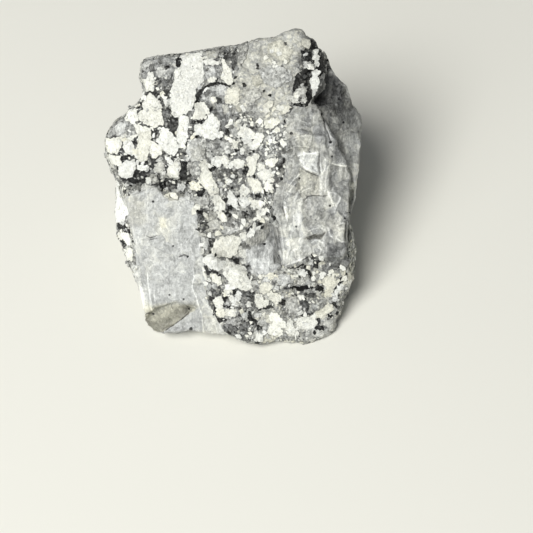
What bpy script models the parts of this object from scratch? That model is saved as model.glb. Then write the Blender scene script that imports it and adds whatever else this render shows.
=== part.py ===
# Raw fluorite: one broken stone of grey translucent fluorite grown through with white and black
# granular minerals. It leans back and shows a broad broken face to the front.
import itertools
import math
import random

import bmesh
import bpy
import numpy as np
from mathutils import Matrix, Vector, noise
from mathutils.bvhtree import BVHTree

MM = 0.001

# The broken face is described in its own plane, in millimetres: across, up and out from its middle.
FACE_MIDDLE = (-1.45, -7.0, 27.0)
FACE_LEAN = math.radians(40.6)
FACE_ROLL = math.radians(-14.5)

# The rough body behind the face
CAP_OUT = -6.5
CAP_RISE = 0.13
RIM_DEPTH = 5.0
BODY_DEPTH = 52.0
BODY_TAPER = 0.74
TAPER_MIDDLE = (1.0, -2.0)
BLOCK_DEPTH = 12.0
CHIP_STEP = 1.8
CHIP_DEPTH = 0.9
CHIP_SHIFT = Vector((31.7, 17.3, 0.0))

RIM = (
    (-20.0, 28.5), (-7.0, 30.5), (2.5, 32.0), (8.5, 33.5), (12.0, 35.5), (15.0, 34.5), (17.5, 33.0),
    (20.0, 30.0), (22.0, 25.5), (24.5, 23.0), (25.6, 20.0), (28.2, 16.5), (27.6, 9.0), (27.0, -1.0),
    (26.0, -6.0), (25.5, -8.5), (27.5, -12.5), (27.2, -19.0), (25.6, -25.0), (23.2, -31.8),
    (20.7, -33.6), (15.5, -35.0), (10.8, -34.0), (7.7, -34.8), (4.5, -35.0), (2.0, -34.0),
    (-0.5, -33.0), (-4.5, -32.5), (-10.5, -33.0), (-16.0, -32.0), (-19.0, -31.5), (-21.5, -23.5),
    (-24.0, -20.5), (-25.5, -14.5), (-26.5, -8.5), (-26.0, 1.5), (-28.0, 5.5), (-29.0, 9.5),
    (-28.5, 12.0), (-25.5, 15.5), (-21.0, 18.5), (-20.0, 21.5), (-21.0, 24.5),
)

# Each block stands out of the body: its outline on the face, how far out its flat top is at the
# middle of the outline, how the top leans per millimetre across and up, and how its foot flares.
BLOCKS = {
    "core": {
        "outline": ((-10, 15.5), (0, 19.5), (9, 18), (13, 17.5), (9.5, 9), (7, 2), (7.5, -6),
                    (5, -19), (-5.5, -22), (-7, -11), (-9.5, 0)),
        "out": 0.4, "lean": (-0.06, 0.12), "flare": 1.15, "granular": True,
    },
    "crevice_floor": {
        "outline": ((-26, 4), (-8, 7), (-6, -6), (-10, -4), (-24, -4)),
        "out": -1.9, "lean": (0.1, 0.1), "flare": 1.0, "granular": True,
    },
    "cleaved_slab": {
        "outline": ((-23.5, -1.5), (-18.5, 0), (-10, -1), (-9, -2), (-7.5, -11), (-8.7, -17.5),
                    (-8.2, -26.6), (-12.2, -24.6), (-17.7, -27.2), (-19.5, -17.5), (-22.5, -8)),
        "out": -1.6, "lean": (0.11, 0.23), "flare": 1.04, "granular": False,
    },
    "slab_right_strip": {
        "outline": ((-8.9, -10), (-7.1, -10), (-6, -20.5), (-3.2, -30), (-3.5, -31.5), (-8, -31.5)),
        "out": -3.4, "lean": (0.0, 0.2), "flare": 1.0, "granular": False,
    },
    "slab_left_strip": {
        "outline": ((-23, -8), (-19, -17.5), (-17.5, -27.5), (-18.2, -29.5), (-21, -22)),
        "out": -5.2, "lean": (0.35, 0.2), "flare": 1.0, "granular": False,
    },
    "slab_toe": {
        "outline": ((-8.3, -26.6), (-3.5, -29.5), (-3, -32), (-15.5, -31.7)),
        "out": -5.8, "lean": (0.12, 0.1), "flare": 1.0, "granular": False,
    },
    "smoky_corner": {
        "outline": ((-18, -27.2), (-12.2, -24.6), (-8.3, -26.6), (-15.5, -31.5), (-18, -31)),
        "out": -7.2, "lean": (0.2, 0.55), "flare": 1.0, "granular": False,
    },
    "left_bulge": {
        "outline": ((-28, 12), (-25, 15.5), (-20.5, 18.5), (-18.5, 22), (-7.5, 22.5), (-3, 20.5),
                    (-2, 15.5), (-6.5, 5.5), (-10, 2.5), (-16.5, 4), (-21.5, 1), (-25, 2.5),
                    (-27.5, 6.5)),
        "out": 1.2, "lean": (0.07, 0.02), "flare": 1.02, "granular": True,
    },
    "top_band": {
        "outline": ((-20.5, 28), (-7, 30), (1.5, 31.5), (1.5, 25), (-1, 19.5), (-7.5, 21),
                    (-18.5, 21.5), (-20.5, 24)),
        "out": 1.5, "lean": (0.05, -0.2), "flare": 1.0, "granular": False,
    },
    "upper_block": {
        "outline": ((1, 31.5), (8.5, 33), (12, 35), (15, 34), (15.5, 32), (12.5, 18.5), (11, 17),
                    (7.5, 14), (0, 15.5), (-1.5, 20.5), (0, 27)),
        "out": 3.0, "lean": (0.06, -0.02), "flare": 1.0, "granular": False,
    },
    "dark_tip": {
        "outline": ((14.5, 33.6), (17, 32.6), (19.2, 29.3), (19.8, 27), (18.6, 21.5), (14, 16.5),
                    (12, 18), (12.5, 18.5), (15, 32)),
        "out": 2.2, "lean": (-0.5, 0.0), "flare": 1.0, "granular": True,
    },
    "right_block": {
        "outline": ((11, 17), (14, 17), (17.5, 18.5), (22, 11), (25.5, 3.5), (25, -5.5),
                    (25, -15.5), (17, -15.5), (11, -17.5), (10, -17), (8, -5.5), (6.5, 2), (8, 11)),
        "out": 2.0, "lean": (-0.12, 0.06), "flare": 1.0, "granular": False,
    },
    "shadow_side": {
        "outline": ((17, 17.5), (21, 19), (25, 20), (28, 16), (27.5, 9), (27, 0), (25, 3),
                    (21.5, 11)),
        "out": -1.4, "lean": (-0.6, 0.02), "flare": 1.0, "granular": False,
    },
    "upper_step": {
        "outline": ((9, 9), (14.5, 13), (19.5, 11.5), (21.5, 3.5), (16, 1), (10.5, 3)),
        "out": 3.0, "lean": (-0.16, 0.16), "flare": 1.02, "granular": False,
    },
    "lower_step": {
        "outline": ((13.5, -3.5), (20, -2.5), (24.3, -6), (24.5, -14.5), (18, -15), (15.5, -10)),
        "out": 1.9, "lean": (-0.1, -0.08), "flare": 1.02, "granular": False,
    },
    "small_block": {
        "outline": ((3.5, -11), (6, -8), (7.5, -5.5), (10, -17), (9, -18.5), (4.5, -18.5)),
        "out": -0.6, "lean": (-0.1, 0.08), "flare": 1.05, "granular": False,
    },
    "lower_mass": {
        "outline": ((-7, -14.5), (1, -17), (11, -18), (17, -15), (24.5, -15.5), (26.5, -19.5),
                    (24.7, -24.7), (22.2, -31.3), (20, -33), (15.3, -34.4), (10.5, -33),
                    (4.5, -34.5), (2, -33.5), (-3, -31.5), (-4.5, -25)),
        "out": -1.8, "lean": (-0.06, 0.15), "flare": 1.0, "granular": True,
    },
    "rear_piece": {
        "outline": ((25.5, -7), (26.5, -9), (27.3, -12.5), (26.8, -19), (25, -22)),
        "out": -6.5, "lean": (-0.3, 0.1), "flare": 1.0, "granular": True,
    },
}

# Flat cleavage faces that bound the stone behind its rim: a point and the way out, in millimetres
# from the ground below the middle of the stone
SIDE_CUTS = (
    ((0, 29, 12), (0.12, 0.95, 0.25)),
    ((0, 27, 9), (0.05, 0.86, -0.5)),
    ((-24, 14, 16), (-0.8, 0.58, 0.05)),
    ((-27, 0, 12), (-0.93, 0.1, -0.3)),
    ((27, 2, 12), (0.9, 0.12, -0.35)),
    ((25, 17, 20), (0.74, 0.66, 0.1)),
)

# Cleaved blocks that stand out of the sides and the back, with their size and turn in degrees
SIDE_BLOCKS = (
    {"middle": (-8, 21, 17), "size": (23, 18, 24), "turn": (8, -12, 6)},
    {"middle": (13, 19, 10), "size": (22, 18, 20), "turn": (-6, 9, -14)},
    {"middle": (18, 7, 11), "size": (17, 22, 20), "turn": (12, 6, 10)},
    {"middle": (-18, 4, 10), "size": (18, 24, 19), "turn": (-9, 11, -8)},
    {"middle": (4, 18, 26), "size": (20, 14, 20), "turn": (25, 10, 12)},
)
CORNER_POINTS = 2
CORNER_SPREAD = (0.6, 1.0)

# Grains: white and black crystals a few millimetres across that crowd the granular parts
SEED = 7
FACE_GRAINS = 300
SIDE_GRAINS = 200
FACE_GRAIN_RADIUS = (1.2, 2.5)
SIDE_GRAIN_RADIUS = (0.9, 1.8)
GRAIN_STRETCH = (0.75, 1.25)
GRAIN_CORNERS = 10
FACE_SINK = (0.1, 1.0)
SIDE_SINK = (0.45, 1.1)
RAY_START = 100.0

# Where grains may stand: off the rim, off the clean upper edge and off the base. A side face is one
# that looks away from the front, and its granular patches come from a noise of this size and share.
EDGE_CLEAR = 2.0
TOP_EDGE = 5.0
TOP_EDGE_OUT = -17.0
BASE_CLEAR = 2.5
FRONT_OUT = -10.0
FRONT_FACING = 0.5
INSIDE = (0.0, 6.0, 12.0)
SIDE_PATCH = 16.0
SIDE_SHARE = 0.05

# The fused surface; the base cut takes some of the faces wanted away
VOXEL = 0.4
PIT_SIZE = 4.0
PIT_DEPTH = 0.45
CLEAVAGE_PIT_DEPTH = 0.08
FACES_WANTED = 11800

STONE_GREY = (0.62, 0.63, 0.62, 1.0)
STONE_ROUGHNESS = 0.5


def clear_scene():
    for thing in list(bpy.data.objects):
        bpy.data.objects.remove(thing, do_unlink=True)


def face_frame():
    return (
        Matrix.Translation(FACE_MIDDLE)
        @ Matrix.Rotation(FACE_LEAN, 4, "X")
        @ Matrix.Rotation(FACE_ROLL, 4, "Z")
    )


def loft(bm, rings):
    # A closed solid through rings with the same number of corners
    made = [[bm.verts.new(place) for place in ring] for ring in rings]
    faces = [bm.faces.new(made[0]), bm.faces.new(reversed(made[-1]))]
    for near, far in zip(made, made[1:]):
        for i in range(len(near)):
            faces.append(bm.faces.new((near[i - 1], far[i - 1], far[i], near[i])))
    bmesh.ops.recalc_face_normals(bm, faces=faces)


def cut_sides(bm):
    for point, outward in SIDE_CUTS:
        cut_away(bm, Vector(point), Vector(outward).normalized())


def cut_away(bm, point, outward):
    found = bmesh.ops.bisect_plane(
        bm,
        geom=bm.verts[:] + bm.edges[:] + bm.faces[:],
        dist=1e-6,
        plane_co=point,
        plane_no=outward,
        clear_outer=True,
    )
    loop = [part for part in found["geom_cut"] if isinstance(part, bmesh.types.BMEdge)]
    bmesh.ops.edgenet_fill(bm, edges=loop)
    bmesh.ops.recalc_face_normals(bm, faces=bm.faces[:])


def add_body(bm, frame):
    def ring(out, scale=1.0):
        middle_u, middle_v = TAPER_MIDDLE
        return [
            frame @ Vector((middle_u + (u - middle_u) * scale, middle_v + (v - middle_v) * scale, out(v)))
            for u, v in RIM
        ]

    loft(bm, [
        ring(lambda v: CAP_OUT + CAP_RISE * v),
        ring(lambda v: CAP_OUT + CAP_RISE * v - RIM_DEPTH),
        ring(lambda v: -BODY_DEPTH, BODY_TAPER),
    ])


def chipped(outline):
    # The outline with its edges broken off unevenly. Blocks that share an edge stay together there.
    points = []
    for start, end in zip(outline, outline[1:] + outline[:1]):
        steps = max(1, round(math.dist(start, end) / CHIP_STEP))
        for i in range(steps):
            point = Vector(start).lerp(Vector(end), i / steps)
            place = point.to_3d() / CHIP_STEP
            chip = Vector((noise.noise(place), noise.noise(place + CHIP_SHIFT)))
            points.append(point + chip * CHIP_DEPTH)
    return points


def add_face_block(bm, frame, block):
    outline = chipped(block["outline"])
    middle = sum((Vector(corner) for corner in block["outline"]), Vector((0, 0)))
    middle /= len(block["outline"])
    across, up = block["lean"]

    def ring(scale, depth):
        places = []
        for corner in outline:
            offset = corner - middle
            out = block["out"] + across * offset.x + up * offset.y - depth
            place = middle + offset * scale
            places.append(frame @ Vector((place.x, place.y, out)))
        return places

    loft(bm, [ring(1.0, 0.0), ring(block["flare"], BLOCK_DEPTH)])


def hull(bm, places):
    found = bmesh.ops.convex_hull(bm, input=[bm.verts.new(place) for place in places])
    unused = [part for part in found["geom_interior"] if isinstance(part, bmesh.types.BMVert)]
    bmesh.ops.delete(bm, geom=unused, context="VERTS")


def add_side_block(bm, block, chance):
    # A box with its corners broken off unevenly
    turn = Matrix.Identity(4)
    for angle, axis in zip(block["turn"], "XYZ"):
        turn = Matrix.Rotation(math.radians(angle), 4, axis) @ turn
    corners = []
    for sides in itertools.product((-0.5, 0.5), repeat=3):
        for _ in range(CORNER_POINTS):
            corner = [side * chance.uniform(*CORNER_SPREAD) for side in sides]
            corners.append(Vector(block["middle"]) + turn @ (Vector(corner) * Vector(block["size"])))
    hull(bm, corners)


def add_grain(bm, place, radius, chance):
    # An angular crystal grain: the hull of a few corners near an ellipsoid
    stretch = [chance.uniform(*GRAIN_STRETCH) for _ in range(3)]
    corners = []
    for _ in range(GRAIN_CORNERS):
        way = Vector([chance.gauss(0, 1) for _ in range(3)]).normalized()
        corners.append(place + Vector([w * s * radius for w, s in zip(way, stretch)]))
    hull(bm, corners)


def inside_outline(u, v, outline):
    inside = False
    for (u0, v0), (u1, v1) in zip(outline, outline[1:] + outline[:1]):
        if (v0 > v) != (v1 > v) and u < u0 + (v - v0) / (v1 - v0) * (u1 - u0):
            inside = not inside
    return inside


def is_cleaved(place, to_face):
    # Whether a place lies on a smooth block, or in the cleaved parts of the sides and the back
    u, v, out = to_face @ place
    if out > FRONT_OUT and inside_outline(u, v, RIM):
        on = [b for b in BLOCKS.values() if inside_outline(u, v, b["outline"])]
        return bool(on) and not on[-1]["granular"]
    return noise.noise(place / SIDE_PATCH) < SIDE_SHARE


def well_inside(u, v):
    # Grains keep off the rim, which is broken clean
    steps = ((EDGE_CLEAR, 0), (-EDGE_CLEAR, 0), (0, EDGE_CLEAR), (0, -EDGE_CLEAR))
    return all(inside_outline(u + across, v + up, RIM) for across, up in steps)


def scatter_grains(bm, frame, chance):
    # Where a ray meets a granular part, a grain is half sunk into the stone.
    surface = BVHTree.FromBMesh(bm)
    out = (frame.to_3x3() @ Vector((0, 0, 1))).normalized()
    to_face = frame.inverted()
    across, along = zip(*RIM)
    found = []
    while len(found) < FACE_GRAINS:
        u, v = chance.uniform(min(across), max(across)), chance.uniform(min(along), max(along))
        if not well_inside(u, v):
            continue
        hit = surface.ray_cast(frame @ Vector((u, v, RAY_START)), -out)[0]
        if hit and not is_cleaved(hit, to_face):
            found.append(hit - out * chance.uniform(*FACE_SINK))
    middle = Vector(INSIDE)
    while len(found) < FACE_GRAINS + SIDE_GRAINS:
        way = Vector([chance.gauss(0, 1) for _ in range(3)]).normalized()
        hit, normal, _, _ = surface.ray_cast(middle + way * RAY_START, -way)
        if not hit or normal.dot(out) > FRONT_FACING or is_cleaved(hit, to_face):
            continue
        _, up, above = to_face @ hit
        if hit.z > BASE_CLEAR and (up < TOP_EDGE or above < TOP_EDGE_OUT):
            found.append(hit - way * chance.uniform(*SIDE_SINK))
    for i, place in enumerate(found):
        radius = chance.uniform(*(FACE_GRAIN_RADIUS if i < FACE_GRAINS else SIDE_GRAIN_RADIUS))
        add_grain(bm, place, radius, chance)


def baked(thing):
    # The object's mesh with its modifiers applied
    scene_state = bpy.context.evaluated_depsgraph_get()
    mesh = bpy.data.meshes.new_from_object(thing.evaluated_get(scene_state))
    thing.modifiers.clear()
    old = thing.data
    thing.data = mesh
    bpy.data.meshes.remove(old)


def roughen(mesh, frame):
    # Cleavage faces stay nearly flat, and the granular parts are pitted.
    count = len(mesh.vertices)
    places = np.empty(count * 3)
    normals = np.empty(count * 3)
    mesh.vertices.foreach_get("co", places)
    mesh.vertex_normals.foreach_get("vector", normals)
    places = places.reshape(-1, 3)
    normals = normals.reshape(-1, 3)
    to_face = frame.inverted()
    depths = []
    for place in places:
        pit = noise.turbulence(Vector(place) / PIT_SIZE, 3, False)
        depths.append(pit * (CLEAVAGE_PIT_DEPTH if is_cleaved(Vector(place), to_face) else PIT_DEPTH))
    places -= normals * np.array(depths)[:, None]
    mesh.vertices.foreach_set("co", places.ravel())
    mesh.update()


def seat(mesh):
    # A flat broken base, and the origin at its height below the middle of the stone
    bm = bmesh.new()
    bm.from_mesh(mesh)
    cut_away(bm, Vector((0, 0, 0)), Vector((0, 0, -1)))
    across, along = ([v.co[k] for v in bm.verts] for k in range(2))
    middle = Vector((min(across) + max(across), min(along) + max(along), 0)) / 2
    bmesh.ops.translate(bm, verts=bm.verts[:], vec=-middle)
    bmesh.ops.scale(bm, verts=bm.verts[:], vec=(MM, MM, MM))
    bmesh.ops.triangulate(bm, faces=bm.faces[:])
    bm.to_mesh(mesh)
    bm.free()


def stone_material():
    material = bpy.data.materials.new("grey_fluorite")
    material.use_nodes = True
    shader = material.node_tree.nodes["Principled BSDF"]
    shader.inputs["Base Color"].default_value = STONE_GREY
    shader.inputs["Roughness"].default_value = STONE_ROUGHNESS
    shader.inputs["Metallic"].default_value = 0.0
    return material


def main():
    clear_scene()
    frame = face_frame()
    chance = random.Random(SEED)
    mesh = bpy.data.meshes.new("fluorite_stone")
    solids = bmesh.new()
    for block in (None, *BLOCKS.values()):
        bm = bmesh.new()
        if block:
            add_face_block(bm, frame, block)
        else:
            add_body(bm, frame)
        cut_sides(bm)
        bm.to_mesh(mesh)
        bm.free()
        solids.from_mesh(mesh)
    for block in SIDE_BLOCKS:
        add_side_block(solids, block, chance)
    scatter_grains(solids, frame, chance)
    solids.to_mesh(mesh)
    solids.free()
    stone = bpy.data.objects.new("fluorite_stone", mesh)
    collection = bpy.data.collections.new("raw_fluorite")
    bpy.context.scene.collection.children.link(collection)
    collection.objects.link(stone)

    fuse = stone.modifiers.new("fuse", "REMESH")
    fuse.mode = "VOXEL"
    fuse.voxel_size = VOXEL
    baked(stone)
    roughen(stone.data, frame)
    thin = stone.modifiers.new("thin", "DECIMATE")
    thin.ratio = FACES_WANTED / (2 * len(stone.data.polygons))
    baked(stone)
    seat(stone.data)
    stone.data.materials.append(stone_material())


main()
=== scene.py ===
import math
import random

import bmesh
import bpy
import numpy as np
from mathutils import Matrix, Vector, geometry, kdtree, noise
from mathutils.bvhtree import BVHTree


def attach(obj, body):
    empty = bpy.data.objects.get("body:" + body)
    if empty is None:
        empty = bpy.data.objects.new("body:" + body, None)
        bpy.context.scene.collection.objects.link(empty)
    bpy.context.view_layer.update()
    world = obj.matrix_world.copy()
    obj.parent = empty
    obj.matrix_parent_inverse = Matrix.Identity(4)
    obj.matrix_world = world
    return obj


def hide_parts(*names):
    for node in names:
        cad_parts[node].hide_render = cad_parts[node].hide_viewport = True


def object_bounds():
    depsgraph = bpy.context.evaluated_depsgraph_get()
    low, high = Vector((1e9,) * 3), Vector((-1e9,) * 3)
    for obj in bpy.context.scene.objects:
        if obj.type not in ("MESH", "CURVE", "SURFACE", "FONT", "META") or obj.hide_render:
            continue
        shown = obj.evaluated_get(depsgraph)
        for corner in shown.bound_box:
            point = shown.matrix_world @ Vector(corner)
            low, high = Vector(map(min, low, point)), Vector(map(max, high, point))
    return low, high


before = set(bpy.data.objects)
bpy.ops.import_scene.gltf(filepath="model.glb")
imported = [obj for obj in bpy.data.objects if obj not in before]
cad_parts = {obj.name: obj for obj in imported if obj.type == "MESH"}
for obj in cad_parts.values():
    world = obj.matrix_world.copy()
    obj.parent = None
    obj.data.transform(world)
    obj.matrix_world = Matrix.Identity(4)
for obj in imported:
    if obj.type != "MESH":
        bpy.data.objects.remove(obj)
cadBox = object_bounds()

mm = 0.001

cameraSet = dict(
    picture=533,                             # side of the square picture, in pixels
    lens=96.81, sensor=36.0,                 # in mm
    place=(0.001126, -0.208721, 0.26353),    # in metres
    below=52.64, roll=-14.0,                 # degrees that it looks down, and that it turns on its own axis
)
focal = cameraSet["lens"] / cameraSet["sensor"] * cameraSet["picture"]
pictureMiddle = cameraSet["picture"] / 2
mmPerPixel = 0.218                           # on the stone's front
cameraTurn = (Matrix.Rotation(math.radians(90 - cameraSet["below"]), 4, "X")
              @ Matrix.Rotation(math.radians(cameraSet["roll"]), 4, "Z"))
cameraPlace = np.array(cameraSet["place"])
cameraAxes = np.array(cameraTurn.to_3x3())   # columns: right, up, back


def added(name, data):
    made = bpy.data.objects.new(name, data)
    bpy.context.scene.collection.objects.link(made)
    return made


def makeCamera():
    data = bpy.data.cameras.new("photo_camera")
    data.lens, data.sensor_width, data.clip_start = cameraSet["lens"], cameraSet["sensor"], 0.01
    camera = added("photo_camera", data)
    camera.matrix_world = Matrix.Translation(cameraSet["place"]) @ cameraTurn
    bpy.context.scene.camera = camera


def picturePlaces(points):
    # where points show in the picture, in pixels
    local = (points - cameraPlace) @ cameraAxes
    away = -local[:, 2]
    return (pictureMiddle + focal * local[:, 0] / away,
            pictureMiddle - focal * local[:, 1] / away)


def towardsPixel(x, y):
    ray = cameraAxes @ np.array([(x - pictureMiddle) / focal, (pictureMiddle - y) / focal, -1.0])
    return Vector(ray).normalized()


def facing(co, normals):
    # 1 where the surface looks at the camera, 0 at its edge, less behind it
    towards = cameraPlace - co
    return (normals * towards).sum(1) / np.linalg.norm(towards, axis=1)


def smooth(low, high, value):
    t = np.clip((value - low) / (high - low), 0, 1)
    return t * t * (3 - 2 * t)


def shownBy(face):
    # 1 on what the camera sees, 0 on what it doesn't
    return smooth(-0.04, 0.10, face)


def noiseAt(points, size, shift):
    # one value near -1..1 per point; size is the pattern's size in mm
    k = 1 / (size * mm)
    return np.array([noise.noise((x * k + shift, y * k - shift, z * k + 2 * shift)) for x, y, z in points])


def wavesAt(points, waves):
    # noises added up; each has its size in mm, how much it sways and its shift
    return sum(noiseAt(points, size, shift) * sway for size, sway, shift in waves)


def pairs(flat):
    return list(zip(flat[0::2], flat[1::2]))


def sidesOf(outline):
    return list(zip(outline, outline[1:] + outline[:1]))


def fromSide(px, py, start, end):
    # distance to a straight side in pixels, and the nearest point's place on it, from 0 to 1
    (ax, ay), (bx, by) = start, end
    dx, dy = bx - ax, by - ay
    t = np.clip(((px - ax) * dx + (py - ay) * dy) / (dx * dx + dy * dy), 0, 1)
    return np.hypot(px - ax - t * dx, py - ay - t * dy), t


def insideBy(px, py, outline):
    # distance to a closed outline in pixels, positive inside it
    far, inside = np.full(len(px), np.inf), np.zeros(len(px), bool)
    for start, end in sidesOf(outline):
        far = np.minimum(far, fromSide(px, py, start, end)[0])
        (ax, ay), (bx, by) = start, end
        if by != ay:
            inside ^= ((ay > py) != (by > py)) & (px < (bx - ax) * (py - ay) / (by - ay) + ax)
    return np.where(inside, far, -far)


def fromLine(px, py, line, width):
    # distance to an open line in pixels, less its width, which thins out towards both ends
    best = np.full(len(px), np.inf)
    steps = len(line) - 1
    for i in range(steps):
        far, t = fromSide(px, py, line[i], line[i + 1])
        along = (i + t) / steps
        best = np.minimum(best, far - width * np.sqrt(np.clip(4 * along * (1 - along), 0.02, 1)))
    return best


def boxBy(local, half, rounding):
    # distance to a rounded box, negative inside; local and half have the same last axis
    q = np.abs(local) - (half - rounding)
    return np.linalg.norm(np.maximum(q, 0), axis=-1) + np.minimum(q.max(axis=-1), 0) - rounding


# What lies where on the front, in picture pixels: x, y, x, y ... round each outline or along each line.
cleavedZones = dict(                         # crystal faces, which carry no grains
    slab=(121, 197, 136, 191, 147, 186, 159, 186, 163, 197, 171, 198, 179, 194, 188, 191, 192, 198,
          196, 210, 198, 228, 201, 237, 201, 251, 204, 262, 206, 283, 207, 298, 213, 314, 222, 328,
          230, 337, 226, 345, 142, 348, 138, 316, 140, 293, 136, 262, 133, 237, 128, 220),
    rightBlock=(292, 106, 305, 107, 314, 98, 318, 84, 328, 72, 336, 62, 352, 74, 374, 108, 376, 215,
                356, 219, 352, 262, 347, 270, 330, 262, 315, 255, 300, 264, 288, 268, 282, 266, 279, 246,
                276, 226, 272, 206, 276, 190, 284, 176, 286, 160, 285, 138, 286, 122),
    smallBlock=(246, 238, 254, 230, 262, 224, 270, 216, 276, 220, 279, 240, 282, 266, 270, 274, 252, 274,
                244, 262),
)
grainyPlace = (349, 220, 380, 214, 380, 312, 352, 312, 350, 264)   # grains only, also where it turns away

stoneSet = dict(                             # a wave is its size in mm, how much it sways and its shift
    seed=11, voxel=0.80,                     # the even mesh's faces, in mm
    calm=10,                                 # passes that even out the rock's coarse grain
    calmIn=(0.6, -0.6), calmUp=(0.3, 1.5),   # where they begin and are full: into the rock, and up, in mm
    once=(0.03, -1.2, 0.6),                  # least turn to the camera, depth in the crystal and height over
    twice=(0.05, -0.25, 1.0),                # the base, in mm, for a face to be split
    border=((2.2, 1.4, 3.1), (0.7, 0.8, 8.7)),   # waves in the crystal's border, in pixels
    hidden=((15, 7, 1.7), (5, 3, 6.1)),      # waves between crystal and rock where it isn't seen, in mm
    hiddenMore=0.5, grainyFrom=-0.35,        # a little more crystal there; how far round grainyPlace goes
    snap=(0.1, 0.6),                         # how deep in it the crystal takes the solid's own faces, in mm
    soften=4,                                # passes that even out the directions in which things stand out
    grit=((0.8, 0.08, 5.5), (1.9, 0.08, 9.5)), sunk=0.12,   # the ground between the grains, in mm
    ripple=((3.2, 0.03, 6.6),),              # swell of the crystal faces
    sugar=0.022, sugarWaves=((0.7, 1, 1.9), (0.35, 1, 4.4)),   # their fine unevenness
    ridge=(0.10, 0.25, -0.05),               # height of the bright lines, and where it begins and is full
    crack=(0.22, 0.3, -0.1),                 # depth of the dark lines, and the same
    dent=(0.12, 0.12, -0.12),                # and of the specks
    rockFrom=(0.10, -0.15), baseTo=(0.05, 1.0),   # where the rock's relief and all relief begin, and are full
    turnedGroundPaintedLight=(0.76, 0.5, 0.3),           # the ground where it turns away, made lighter as painted light: lightness, contrast, warmth
    turnedShare=0.85,
)
tipSet = dict(                               # the lower left tip, which the solid leaves blunt
    x=152, y=328, near=4, reach=42,          # in pixels: pushed in full up to `near`, not at all past `reach`
    push=1.4,                                # to the left, in mm
)


def evenMesh():
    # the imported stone, with faces of one small size
    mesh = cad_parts["fluorite_stone"].data.copy()
    bm = bmesh.new()
    bm.from_mesh(mesh)
    bmesh.ops.remove_doubles(bm, verts=bm.verts, dist=1e-7)
    tree = BVHTree.FromBMesh(bm)
    bm.to_mesh(mesh)
    bm.free()
    piece = added("fluorite_surface", mesh)
    remesh = piece.modifiers.new("even", "REMESH")
    remesh.mode, remesh.voxel_size, remesh.adaptivity = "VOXEL", stoneSet["voxel"] * mm, 0
    graph = bpy.context.evaluated_depsgraph_get()
    piece.data = bpy.data.meshes.new_from_object(piece.evaluated_get(graph))
    piece.modifiers.clear()
    return piece, tree


def arraysOf(mesh):
    co = np.empty(len(mesh.vertices) * 3)
    mesh.vertices.foreach_get("co", co)
    edges = np.empty(len(mesh.edges) * 2, int)
    mesh.edges.foreach_get("vertices", edges)
    return co.reshape(-1, 3), edges.reshape(-1, 2)


def putBack(mesh, co):
    mesh.vertices.foreach_set("co", co.astype(np.float32).ravel())
    mesh.update()


def normalsOf(mesh, co):
    putBack(mesh, co)
    out = np.empty(len(co) * 3, np.float32)
    mesh.vertex_normals.foreach_get("vector", out)
    return out.reshape(-1, 3).astype(float)


def relax(values, edges, weight, passes):
    # at full weight, every point's values go halfway to its neighbours' mean in each pass
    count = np.bincount(edges.ravel(), minlength=len(values))
    one, other = edges.T
    for _ in range(passes):
        total = np.stack([np.bincount(one, column[other], len(values))
                          + np.bincount(other, column[one], len(values)) for column in values.T], 1)
        values = values + (total / count[:, None] - values) * (0.5 * weight)[:, None]
    return values


def cleavedBy(co, face):
    # distance into the cleaved zones in mm, positive on a crystal face
    px, py = picturePlaces(co)
    wobble = wavesAt(co, stoneSet["border"])
    front = np.full(len(co), -np.inf)
    for outline in cleavedZones.values():
        front = np.maximum(front, insideBy(px, py, pairs(outline)))
    hidden = wavesAt(co, stoneSet["hidden"]) + stoneSet["hiddenMore"]
    shown = shownBy(face)
    cleaved = shown * (front + wobble) * mmPerPixel + (1 - shown) * (hidden + wobble * 0.4)
    inside = insideBy(px, py, pairs(grainyPlace)) + wobble
    grainy = (face > stoneSet["grainyFrom"]) & (inside > 0)
    return np.where(grainy, np.minimum(cleaved, -inside * mmPerPixel), cleaved)


def beyond(limits, face, cleaved, co):
    turned, deep, high = limits
    return (face > turned) & (cleaved > deep) & (co[:, 2] > high * mm)


def splitFaces(piece, wanted):
    # splits each face whose points are all wanted into four
    bm = bmesh.new()
    bm.from_mesh(piece.data)
    edges = {}
    for f in bm.faces:
        if all(wanted[v.index] for v in f.verts):
            edges.update(dict.fromkeys(f.edges))
    bmesh.ops.subdivide_edges(bm, edges=list(edges), cuts=1, use_grid_fill=True)
    bmesh.ops.triangulate(bm, faces=[f for f in bm.faces if len(f.verts) > 4])
    bm.to_mesh(piece.data)
    bm.free()


def refine(piece):
    # evens out the rock, then splits the faces that the camera sees, once more on the crystal
    co, edges = arraysOf(piece.data)
    cleaved = cleavedBy(co, facing(co, normalsOf(piece.data, co)))
    rough = smooth(*stoneSet["calmIn"], cleaved) * smooth(*stoneSet["calmUp"], co[:, 2] / mm)
    co = relax(co, edges, rough, stoneSet["calm"])
    face = facing(co, normalsOf(piece.data, co))
    splitFaces(piece, beyond(stoneSet["once"], face, cleaved, co))
    co, _ = arraysOf(piece.data)
    face = facing(co, normalsOf(piece.data, co))
    splitFaces(piece, beyond(stoneSet["twice"], face, cleavedBy(co, face), co))


def pushTip(co):
    px, py = picturePlaces(co)
    away = np.hypot(px - tipSet["x"], py - tipSet["y"])
    aside = -cameraAxes[:, 0] * (1, 1, 0)
    return co + aside * (smooth(tipSet["reach"], tipSet["near"], away) * tipSet["push"] * mm)[:, None]


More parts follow.
